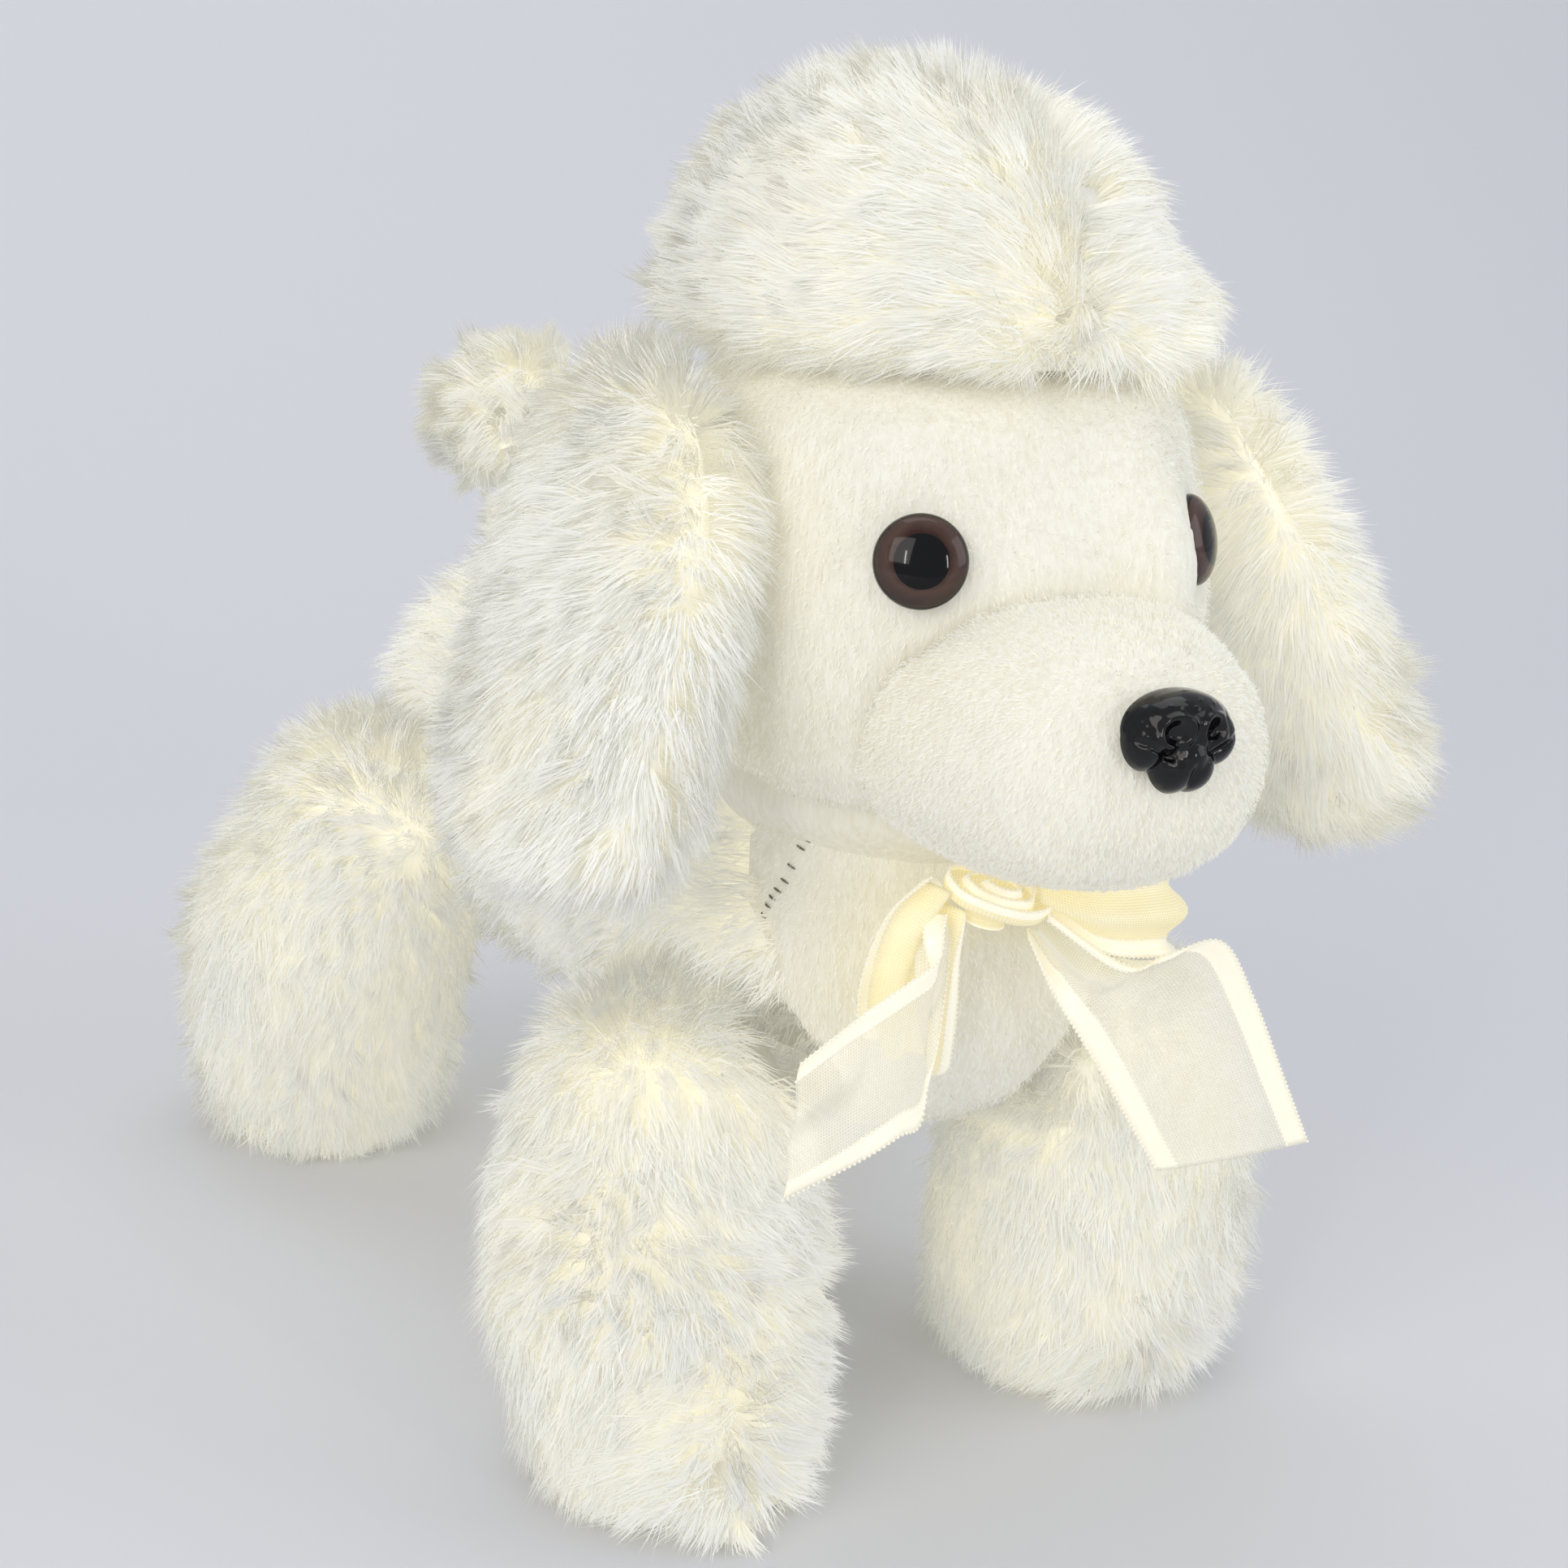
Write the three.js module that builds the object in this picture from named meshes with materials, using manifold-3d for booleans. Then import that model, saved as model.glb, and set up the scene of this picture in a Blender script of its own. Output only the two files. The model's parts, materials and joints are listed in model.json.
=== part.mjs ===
// A standing plush poodle, in millimetres. It faces -Y, +X is its left side, and z = 0 is the floor under its feet.
// Long-pile and short-pile covers are open shells over fibre stuffing, the eyes and nose are plastic on
// stems with locking washers, and a ribbon bow with a folded rosette is stitched under the chin.
import * as THREE from 'three';
import { mergeVertices } from 'three/addons/utils/BufferGeometryUtils.js';
import Module from 'manifold-3d';

const wasm = await Module();
wasm.setup();

// ---- driving dimensions ----
const longPile = 9; // cover with its standing pile
const shortPile = 3; // cover with its cropped pile
const gap = 0.6; // between neighbours that only touch
const swingGap = 1.6; // between neighbours that move
const finePoints = 16; // points around a soft form's section
const coarsePoints = 10; // and around the rough form that sweeps its room to move
const coarseSlack = 1; // how much the rough form is swollen to hold the fine one

const headPivot = [0, -56, 132];
const neckRadius = 23;
const eye = {
  radius: 8, dome: 4.8, x: 27, y: -112.6, z: 182, turn: 26, lift: 12, stem: 2, stemLength: 11.5, washer: 6,
};
const nose = {
  width: 20.5, height: 17, depth: 8, y: -151.5, z: 158.5, lift: 16, stem: 2.4, stemLength: 12, washer: 6.5,
};
const rim = 0.9; // the straight edge under an eye's or the nose's dome
const washerFrom = 7.4; // behind the dome's base
const washerTo = 9;
const ribbonThickness = 1.0;
const legSwing = 18; // degrees each way
const headTurn = 20;
const headNod = 10;
const earLift = 50;
const tailWag = 30;
const bib = { halfWidth: 34, back: 60, front: -64, top: 150, corner: 84, belly: 66, cornerBack: -44 };
const frontStep = { right: -2, left: 20 }; // how far back each front foot stands

// ---- colours ----
const cream = 0xf1f0e4;
const white = 0xf4f4ef;
const fibre = 0xf7f7f5;
const black = 0x08080a;
const brown = 0x3a241c;
const satin = 0xf6efcf;

function material(colour, roughness) {
  return new THREE.MeshStandardMaterial({ color: colour, roughness, metalness: 0 });
}
const longPileFabric = material(cream, 0.95);
const shortPileFabric = material(white, 0.9);
const stuffingFibre = material(fibre, 1);
const glossPlastic = material(black, 0.15);
const eyePlastic = material(brown, 0.1);
const washerPlastic = material(fibre, 0.5);
const ribbonSatin = material(satin, 0.45);

// ---- solids: three.js geometry to and from manifold, which only joins and cuts ----
function solidOf(geometry) {
  const bare = geometry.clone();
  bare.deleteAttribute('normal');
  bare.deleteAttribute('uv');
  const merged = mergeVertices(bare, 1e-4);
  return new wasm.Manifold(new wasm.Mesh({
    numProp: 3,
    vertProperties: new Float32Array(merged.attributes.position.array),
    triVerts: new Uint32Array(merged.index.array),
  }));
}

function geometryOf(solid) {
  const mesh = solid.getMesh();
  const geometry = new THREE.BufferGeometry();
  geometry.setAttribute('position', new THREE.BufferAttribute(mesh.vertProperties, 3));
  geometry.setIndex(new THREE.BufferAttribute(mesh.triVerts, 1));
  geometry.computeVertexNormals();
  return geometry;
}

function box(low, high) {
  const size = low.map((value, k) => high[k] - value);
  const geometry = new THREE.BoxGeometry(...size);
  geometry.translate(...low.map((value, k) => value + size[k] / 2));
  return solidOf(geometry);
}

function ball(centre, radius) {
  const geometry = new THREE.SphereGeometry(radius, 16, 10);
  geometry.translate(...centre);
  return solidOf(geometry);
}

// a smooth value at place s along a list, passing through every entry
function spline(list, s) {
  const i = Math.min(Math.floor(s), list.length - 2);
  const t = s - i;
  const [b, c] = [list[i], list[i + 1]];
  const a = list[i - 1] ?? 2 * b - c;
  const d = list[i + 2] ?? 2 * c - b;
  const m = (c - a) / 2;
  const n = (d - b) / 2;
  return (2 * t ** 3 - 3 * t ** 2 + 1) * b + (t ** 3 - 2 * t ** 2 + t) * m
    + (3 * t ** 2 - 2 * t ** 3) * c + (t ** 3 - t ** 2) * n;
}

// A soft closed form: oval sections stacked along Z or Y, domed at both ends.
// along 'z': a section is [z, centre x, centre y, half-width x, half-width y];
// along 'y': [y, centre x, centre z, half-width x, half-width z]. caps are the two domes' heights.
// power above 2 squares the section off, and grow swells the form all over.
function softForm({ along, sections, caps, power = 2, grow = 0, steps = 2, around = finePoints }) {
  const column = (k) => sections.map((section) => section[k]);
  const rings = [];
  const addRing = (place, shrink, stack) => {
    const [centreA, centreB, halfA, halfB] = [1, 2, 3, 4].map((k) => spline(column(k), place));
    rings.push({ stack, centreA, centreB, halfA: (halfA + grow) * shrink, halfB: (halfB + grow) * shrink });
  };
  const last = sections.length - 1;
  const domeSteps = 3;
  for (let k = 1; k <= domeSteps; k++) {
    const angle = (k / domeSteps) * Math.PI / 2;
    addRing(0, Math.sin(angle), sections[0][0] - (caps[0] + grow) * Math.cos(angle));
  }
  for (let k = 1; k <= last * steps; k++) addRing(k / steps, 1, spline(column(0), k / steps));
  for (let k = 1; k < domeSteps; k++) {
    const angle = (k / domeSteps) * Math.PI / 2;
    addRing(last, Math.cos(angle), sections[last][0] + (caps[1] + grow) * Math.sin(angle));
  }
  const points = [];
  const put = (a, b, stack) => points.push(...(along === 'z' ? [a, b, stack] : [a, stack, b]));
  const squared = (value) => Math.sign(value) * Math.abs(value) ** (2 / power);
  for (const ring of rings) {
    for (let j = 0; j < around; j++) {
      const angle = (j / around) * 2 * Math.PI;
      put(ring.centreA + ring.halfA * squared(Math.cos(angle)),
        ring.centreB + ring.halfB * squared(Math.sin(angle)), ring.stack);
    }
  }
  const [first, final] = [rings[0], rings[rings.length - 1]];
  put(first.centreA, first.centreB, sections[0][0] - caps[0] - grow);
  put(final.centreA, final.centreB, sections[last][0] + caps[1] + grow);
  const lowPole = rings.length * around;
  const faces = [];
  for (let j = 0; j < around; j++) {
    const next = (j + 1) % around;
    faces.push(lowPole, next, j);
    for (let i = 0; i + 1 < rings.length; i++) {
      const [p, q] = [i * around, (i + 1) * around];
      faces.push(p + j, p + next, q + next, p + j, q + next, q + j);
    }
    const top = (rings.length - 1) * around;
    faces.push(lowPole + 1, top + j, top + next);
  }
  if (along === 'y') { // Z and X swap hands when the stack runs along Y
    for (let k = 0; k < faces.length; k += 3) [faces[k], faces[k + 1]] = [faces[k + 1], faces[k]];
  }
  const geometry = new THREE.BufferGeometry();
  geometry.setAttribute('position', new THREE.Float32BufferAttribute(points, 3));
  geometry.setIndex(faces);
  return solidOf(geometry);
}

const handOf = (side) => (side < 0 ? 'right' : 'left');

// the same section on the dog's right (side -1) or left (side 1)
const mirrorX = (side) => (section) => [section[0], section[1] * side, ...section.slice(2)];

// ---- outlines of the soft parts (the outside of the pile) ----
const trunkForm = {
  along: 'y', caps: [17, 24],
  sections: [[-74, 0, 96, 42, 32], [-45, 0, 98, 46, 38], [0, 0, 94, 45, 38], [60, 0, 94, 49, 41],
    [112, 0, 94, 49, 41]],
};
const neckForm = {
  along: 'z', caps: [14, 14],
  sections: [[104, 0, -58, 40, 34], [130, 0, -56, 34, 30]],
};
const headForm = {
  along: 'z', caps: [12, 12], power: 2.7,
  sections: [[140, 0, -65, 41, 42], [160, 0, -68, 45, 48], [180, 0, -68, 44, 49], [202, 0, -65, 42, 42]],
};
const muzzleForm = {
  along: 'y', caps: [21, 10], power: 2.25,
  sections: [[-132, 0, 152, 29, 23.5], [-118, 0, 152, 33, 25.5], [-98, 0, 153, 34, 26]],
};
const topknotForm = {
  along: 'z', caps: [12, 32], power: 2.1,
  sections: [[211, 3, -62, 47, 47], [221, 3, -62, 49, 50], [230, 0, -61, 46, 50]],
};
const earForm = (side) => ({
  along: 'z', caps: [14, 11],
  sections: [[134, 75, -80, 19, 34], [155, 68, -74, 20, 37], [182, 59, -66, 18, 37], [200, 54, -60, 13, 30]]
    .map(mirrorX(side)),
});
// a leg steps forward or back by up to step at the sole
const stepped = (step) => ([z, x, y, ...halves]) => [z, x, y + step * (1 - z / 80), ...halves];
const frontLegForm = (side) => ({
  along: 'z', caps: [11, 18],
  sections: [[6, 49, -72, 27, 35], [26, 50, -69, 32, 35], [54, 50, -64, 32, 33], [76, 44, -60, 29, 31]]
    .map(mirrorX(side)).map(stepped(frontStep[handOf(side)])),
});
const rearLegForm = (side) => ({
  along: 'z', caps: [11, 20],
  sections: [[6, 57, 117, 27, 32], [26, 58, 113, 31, 38], [56, 57, 107, 33, 42], [84, 47, 101, 30, 38]]
    .map(mirrorX(side)),
});
const frontHip = (side) => [44 * side, -60, 76];
const rearHip = (side) => [47 * side, 100, 82];
const earHinge = (side) => [50 * side, -58, 207];
const partingX = 6; // the topknot's seam lies a little to the dog's left
const tail = { root: [0, 120, 124], ball: [-3, 138.7, 165], radius: 21, stalkRadius: 8, stalkStart: 13 };
const bow = { knot: [-3, -98.2, 118], radius: 10.5, depth: 11, tailY: -106.8 };

const grown = (form, grow) => softForm({ ...form, grow });
const coarse = (form) => softForm({ ...form, grow: swingGap + coarseSlack, around: coarsePoints, steps: 1 });
const shellOf = (form, thickness) => softForm(form).subtract(grown(form, -thickness));
const joined = (solids) => solids.reduce((sum, next) => sum.add(next));
const xAxis = [1, 0, 0];
const yAxis = [0, 1, 0];
const zAxis = [0, 0, 1];
const bothWays = (limit) => [-1, 0, 1].map((share) => share * limit);
const oneWay = (limit) => [0, 0.5, 1].map((share) => share * limit);

function turned(solid, pivot, axis, degrees) {
  const move = new THREE.Matrix4().makeTranslation(...pivot)
    .multiply(new THREE.Matrix4().makeRotationAxis(new THREE.Vector3(...axis), degrees * Math.PI / 180))
    .multiply(new THREE.Matrix4().makeTranslation(...pivot.map((value) => -value)));
  const geometry = geometryOf(solid);
  geometry.applyMatrix4(move);
  return solidOf(geometry);
}

// everything that a solid passes through on its hinge
const swept = (solid, pivot, axis, angles) => joined(angles.map((angle) => turned(solid, pivot, axis, angle)));

const dog = new THREE.Group();
const trunkGroup = new THREE.Group();
const headGroup = new THREE.Group();
const bowGroup = new THREE.Group();
dog.add(trunkGroup, headGroup, bowGroup);

function addMesh(group, name, geometry, finish) {
  const mesh = new THREE.Mesh(geometry, finish);
  mesh.name = name;
  group.add(mesh);
  return mesh;
}
const addSolid = (group, name, solid, finish) => addMesh(group, name, geometryOf(solid), finish);

// ---- legs: a long-pile tube, closed and flat at the sole, open at the hip, and its stuffing ----
const wide = 300; // past every side of the dog
const soleTop = longPile - 1;
const underFloor = box([-wide, -wide, -50], [wide, wide, 0]);
const underSoleTop = box([-wide, -wide, -50], [wide, wide, soleTop + gap]);
const soleLayer = box([-wide, -wide, 0], [wide, wide, soleTop]);
const hipHole = { halfLength: 20, below: 12, above: 15 }; // the open mouth of a leg tube, on its inner side
function hipOpening([x, y, z]) {
  const edge = x * 0.8;
  return box([Math.min(0, edge), y - hipHole.halfLength, z - hipHole.below],
    [Math.max(0, edge), y + hipHole.halfLength, z + hipHole.above]);
}
const legPaths = [];
for (const side of [-1, 1]) {
  const pair = [['front_leg', frontLegForm(side), frontHip(side)], ['rear_leg', rearLegForm(side), rearHip(side)]];
  for (const [kind, form, hip] of pair) {
    const name = `${kind}_${handOf(side)}`;
    const sole = softForm(form).intersect(soleLayer);
    const cover = shellOf(form, longPile).subtract(underFloor).subtract(hipOpening(hip)).add(sole);
    addSolid(trunkGroup, name, cover, longPileFabric);
    const filling = grown(form, -longPile - gap).subtract(underSoleTop);
    addSolid(trunkGroup, `${name}_stuffing`, filling, stuffingFibre);
    legPaths.push(swept(coarse(form), hip, xAxis, bothWays(legSwing)));
  }
}

// ---- eyes and nose: a dome on a stem, held behind the cover by a toothless locking washer ----
function onStem(dome, stemRadius, stemLength) { // the dome's base is at y = 0 and it faces -Y
  const stem = new THREE.CylinderGeometry(stemRadius, stemRadius, stemLength + 1, 8);
  stem.translate(0, stemLength / 2 - 0.5, 0);
  return solidOf(dome).add(solidOf(stem));
}
function domeGeometry(radius, height) {
  const profile = [[0, 0], [radius, 0]];
  for (let k = 0; k <= 5; k++) {
    const angle = (k / 5) * Math.PI / 2;
    profile.push([k === 5 ? 0 : radius * Math.cos(angle), -rim - (height - rim) * Math.sin(angle)]);
  }
  return new THREE.LatheGeometry(profile.reverse().map(([r, h]) => new THREE.Vector2(r, h)), 20);
}
function washerGeometry(hole, radius) {
  const profile = [[hole, washerFrom], [radius, washerFrom], [radius, washerTo], [hole, washerTo],
    [hole, washerFrom]];
  return new THREE.LatheGeometry(profile.map(([r, h]) => new THREE.Vector2(r, h)), 12);
}
function placed(mesh, position, yaw, lift) { // yaw turns about Z, lift tips the front up
  mesh.position.set(...position);
  mesh.rotation.set(THREE.MathUtils.degToRad(-lift), 0, THREE.MathUtils.degToRad(yaw), 'ZXY');
  mesh.updateMatrixWorld(true);
  return mesh;
}
const fittings = []; // what the covers and stuffing have to leave room for
function addFitting(name, dome, finish, size, position, yaw, lift) {
  const body = onStem(dome, size.stem, size.stemLength);
  placed(addSolid(headGroup, name, body, finish), position, yaw, lift);
  const washer = washerGeometry(size.stem + gap / 2, size.washer);
  placed(addMesh(headGroup, `${name}_washer`, washer, washerPlastic), position, yaw, lift);
  const room = new THREE.CylinderGeometry(size.washer + gap, size.washer + gap, size.stemLength + 3, 10);
  room.translate(0, size.stemLength / 2 + 2, 0);
  const hole = new THREE.CylinderGeometry(size.stem + gap, size.stem + gap, size.stemLength + 2, 8);
  hole.translate(0, size.stemLength / 2 - 1, 0);
  const seat = dome.clone();
  seat.scale(1 + gap / 8, 1, 1 + gap / 8);
  seat.translate(0, gap / 2, 0);
  const mover = placed(new THREE.Mesh(), position, yaw, lift).matrixWorld;
  fittings.push({
    name,
    inCover: joined([hole, seat].map((geometry) => solidOf(geometry.clone().applyMatrix4(mover)))),
    inStuffing: solidOf(room.clone().applyMatrix4(mover)),
  });
}
for (const side of [-1, 1]) {
  addFitting(`eye_${handOf(side)}`, domeGeometry(eye.radius, eye.dome), eyePlastic, eye,
    [eye.x * side, eye.y, eye.z], eye.turn * side, eye.lift);
}
const noseDome = domeGeometry(nose.width / 2, nose.depth);
noseDome.scale(1, 1, nose.height / nose.width);
addFitting('nose', noseDome, glossPlastic, nose, [0, nose.y, nose.z], 0, nose.lift);
const coverRoom = joined(fittings.map((fitting) => fitting.inCover));
const stuffingRoom = joined(fittings.map((fitting) => fitting.inStuffing.add(fitting.inCover)));

// ---- head: face cover, muzzle cover, two topknot halves, two ears, stuffing ----
const neckBall = ball(headPivot, neckRadius);
const neckRoom = ball(headPivot, neckRadius + swingGap);
const headSolid = softForm(headForm);
const muzzleSolid = softForm(muzzleForm);
const headGap = grown(headForm, gap);
const muzzleOpening = grown(muzzleForm, -shortPile - 2);
addSolid(headGroup, 'face_cover',
  shellOf(headForm, shortPile).subtract(neckRoom).subtract(muzzleOpening).subtract(coverRoom), shortPileFabric);
addSolid(headGroup, 'muzzle_cover',
  shellOf(muzzleForm, shortPile).subtract(headGap).subtract(coverRoom), shortPileFabric);
addSolid(headGroup, 'head_stuffing',
  grown(headForm, -shortPile - gap).subtract(neckRoom).subtract(stuffingRoom), stuffingFibre);
addSolid(headGroup, 'muzzle_stuffing',
  grown(muzzleForm, -shortPile - gap).subtract(headGap).subtract(stuffingRoom), stuffingFibre);

const topknotShell = shellOf(topknotForm, longPile).subtract(headGap);
addSolid(headGroup, 'topknot_right',
  topknotShell.intersect(box([-wide, -wide, 0], [partingX - gap / 2, wide, wide])), longPileFabric);
addSolid(headGroup, 'topknot_left',
  topknotShell.intersect(box([partingX + gap / 2, -wide, 0], [wide, wide, wide])), longPileFabric);
addSolid(headGroup, 'topknot_stuffing', grown(topknotForm, -longPile - gap).subtract(headGap), stuffingFibre);

const headAndTopknot = coarse(headForm).add(coarse(topknotForm));
for (const side of [-1, 1]) {
  const past = swept(headAndTopknot, earHinge(side), yAxis, oneWay(earLift).map((angle) => angle * side));
  addSolid(headGroup, `ear_${handOf(side)}`, softForm(earForm(side)).subtract(past), longPileFabric);
}

// ---- tail: stalk, pompom and its stuffing ----
const tailVector = new THREE.Vector3(...tail.ball).sub(new THREE.Vector3(...tail.root));
const tailLength = tailVector.length();
const upTail = new THREE.Quaternion()
  .setFromUnitVectors(new THREE.Vector3(0, 1, 0), tailVector.clone().normalize());
function alongTail(profile) { // a turned form on the tail's own line, from its root
  const geometry = new THREE.LatheGeometry(profile.map(([r, h]) => new THREE.Vector2(r, h)), 14);
  geometry.applyQuaternion(upTail);
  geometry.translate(...tail.root);
  return geometry;
}
function pompomArc(radius, fromAngle, count) { // up to the pole, which closes on the line
  const points = [];
  for (let k = 0; k <= count; k++) {
    const angle = (fromAngle + (90 - fromAngle) * k / count) * Math.PI / 180;
    points.push([k === count ? 0 : radius * Math.cos(angle), tailLength + radius * Math.sin(angle)]);
  }
  return points;
}
const stalkEnd = tailLength - tail.radius + 3;
const stalkProfile = [[0, tail.stalkStart], [tail.stalkRadius, tail.stalkStart], [tail.stalkRadius - 1, stalkEnd],
  [0, stalkEnd]];
addMesh(trunkGroup, 'tail_stalk', alongTail(stalkProfile), longPileFabric);
const mouth = -62; // degrees: where the pompom's cover is gathered round the stalk
const pompomOutside = pompomArc(tail.radius, mouth, 8);
const pompomInside = pompomArc(tail.radius - longPile, mouth, 6).reverse();
addMesh(trunkGroup, 'tail_pompom', alongTail([...pompomOutside, ...pompomInside, pompomOutside[0]]), longPileFabric);
const pompomFilling = pompomArc(tail.radius - longPile - gap, -90, 8);
pompomFilling[0][0] = 0;
addMesh(trunkGroup, 'tail_pompom_stuffing', alongTail(pompomFilling), stuffingFibre);
const tailRadius = tail.stalkRadius + swingGap;
const tailRoom = swept(solidOf(alongTail([[0, tail.stalkStart - swingGap], [tailRadius, tail.stalkStart - swingGap],
  [tailRadius, stalkEnd], [0, stalkEnd]])), tail.root, yAxis, bothWays(tailWag));

// ---- trunk: long-pile coat, short-pile chest panel, stuffing, and the neck's own wad ----
const nodding = swept(coarse(headForm), headPivot, xAxis, [0, -headNod]);
const headPath = swept(nodding, headPivot, zAxis, bothWays(headTurn));
const trunkCut = joined([...legPaths, headPath, neckRoom, tailRoom]);
const trunkShell = softForm(trunkForm).add(softForm(neckForm))
  .subtract(grown(trunkForm, -longPile).add(grown(neckForm, -longPile))).subtract(trunkCut);
function bibReach(grow) { // the chest panel's reach: down the front and back along the belly
  const outsideY = -140;
  const outsideZ = 20;
  const sideView = [[outsideY, bib.top], [bib.front + grow, bib.top], [bib.front + grow, bib.corner + grow],
    [bib.cornerBack, bib.belly + grow], [bib.back + grow, bib.belly + grow], [bib.back + grow, outsideZ],
    [outsideY, outsideZ]];
  const outline = new THREE.Shape(sideView.map(([y, z]) => new THREE.Vector2(y, z)));
  const width = 2 * (bib.halfWidth + grow);
  const geometry = new THREE.ExtrudeGeometry(outline, { depth: width, bevelEnabled: false });
  geometry.applyMatrix4(new THREE.Matrix4().makeBasis(
    new THREE.Vector3(0, 1, 0), new THREE.Vector3(0, 0, 1), new THREE.Vector3(1, 0, 0)));
  geometry.translate(-width / 2, 0, 0);
  return solidOf(geometry);
}
addSolid(trunkGroup, 'chest_panel', trunkShell.intersect(bibReach(0)), shortPileFabric);
addSolid(trunkGroup, 'body_coat', trunkShell.subtract(bibReach(gap)), longPileFabric);
addSolid(trunkGroup, 'body_stuffing',
  grown(trunkForm, -longPile - gap).add(grown(neckForm, -longPile - gap)).subtract(trunkCut), stuffingFibre);
addSolid(trunkGroup, 'neck_stuffing', neckBall, stuffingFibre);

// ---- bow: rosette, two loops and two tails of one ribbon ----
const rosetteProfile = [[0, 0], [bow.radius * 0.75, 0], [bow.radius, -3.5], [bow.radius * 0.95, -6],
  [bow.radius * 0.7, -9], [3.5, -bow.depth], [0, -bow.depth + 2]];
const rosetteShape = new THREE.LatheGeometry(rosetteProfile.reverse().map(([r, h]) => new THREE.Vector2(r, h)), 16);
rosetteShape.scale(1, 1, 0.72);
const rosette = addMesh(bowGroup, 'bow_rosette', rosetteShape, ribbonSatin);
rosette.position.set(bow.knot[0], bow.knot[1] + bow.depth / 2, bow.knot[2]);

function plate(corners) { // a flat piece of ribbon facing -Y, its corners given in X and Z
  const outline = new THREE.Shape(corners.map(([x, z]) => new THREE.Vector2(x, z)));
  const geometry = new THREE.ExtrudeGeometry(outline, { depth: ribbonThickness, bevelEnabled: false });
  geometry.rotateX(Math.PI / 2);
  geometry.translate(0, bow.tailY + ribbonThickness, 0);
  return geometry;
}
function loopGeometry({ length, depth, width }) { // a flattened ring of ribbon, from x = 0 to its far bend
  const oval = (a, b) => {
    const curve = new THREE.EllipseCurve(length / 2, 0, a, b, 0, 2 * Math.PI);
    return curve.getPoints(14).slice(0, -1);
  };
  const outline = new THREE.Shape(oval(length / 2, depth / 2));
  outline.holes.push(new THREE.Path(oval(length / 2 - ribbonThickness, depth / 2 - ribbonThickness)));
  const geometry = new THREE.ExtrudeGeometry(outline, { depth: width, bevelEnabled: false });
  geometry.translate(0, 0, -width / 2);
  return geometry;
}
const bowHalves = {
  left: {
    loop: { length: 24, depth: 8, width: 17, x: 8, z: 115, turn: 4 },
    tail: [[8, 108], [29, 67], [60, 68], [36, 110], [14, 112]],
  },
  right: {
    loop: { length: 22, depth: 8, width: 15, x: -13.5, z: 112, turn: 138 },
    tail: [[-45, 96], [-47, 71], [-20, 82], [-14, 106], [-19, 111]],
  },
};
for (const [hand, { loop, tail: corners }] of Object.entries(bowHalves)) {
  const mesh = addMesh(bowGroup, `bow_loop_${hand}`, loopGeometry(loop), ribbonSatin);
  mesh.position.set(loop.x, bow.knot[1] - 1, loop.z);
  mesh.rotation.y = THREE.MathUtils.degToRad(loop.turn);
  addMesh(bowGroup, `bow_tail_${hand}`, plate(corners), ribbonSatin);
}

export default dog;
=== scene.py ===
# A standing plush poodle: long combed pile, velour face and chest, plastic eyes and nose, organza bow
import itertools
import json
import math

import bmesh
import bpy
import numpy as np
from mathutils import Matrix, Vector
from mathutils.bvhtree import BVHTree


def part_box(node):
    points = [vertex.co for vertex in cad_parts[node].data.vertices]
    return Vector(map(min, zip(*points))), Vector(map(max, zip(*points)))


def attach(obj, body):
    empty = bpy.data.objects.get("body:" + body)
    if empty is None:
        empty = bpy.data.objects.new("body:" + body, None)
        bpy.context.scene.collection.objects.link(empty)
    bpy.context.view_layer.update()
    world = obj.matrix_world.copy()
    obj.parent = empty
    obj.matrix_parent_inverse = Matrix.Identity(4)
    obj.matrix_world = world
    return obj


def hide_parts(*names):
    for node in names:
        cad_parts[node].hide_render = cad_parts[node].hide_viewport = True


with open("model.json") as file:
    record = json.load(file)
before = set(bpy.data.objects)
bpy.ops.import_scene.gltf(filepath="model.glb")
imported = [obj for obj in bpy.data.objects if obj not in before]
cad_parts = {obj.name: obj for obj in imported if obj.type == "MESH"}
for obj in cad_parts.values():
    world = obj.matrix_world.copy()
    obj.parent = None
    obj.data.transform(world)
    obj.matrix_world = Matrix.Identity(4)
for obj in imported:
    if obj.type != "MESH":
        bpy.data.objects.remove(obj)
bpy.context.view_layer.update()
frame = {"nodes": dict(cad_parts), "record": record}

mm = 0.001


# small helpers

def hexColour(code):  # sRGB hex to linear RGBA
    parts = [int(code[k:k + 2], 16) / 255 for k in (1, 3, 5)]
    linear = [c / 12.92 if c <= 0.04045 else ((c + 0.055) / 1.055) ** 2.4 for c in parts]
    return (*linear, 1.0)


def addNode(tree, kind, settings=None, links=None):
    node = tree.nodes.new(kind)
    for key, value in (settings or {}).items():
        if isinstance(key, str) and hasattr(node, key):
            setattr(node, key, value)
        else:
            node.inputs[key].default_value = value
    for key, source in (links or {}).items():
        tree.links.new(source, node.inputs[key])
    return node


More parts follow.
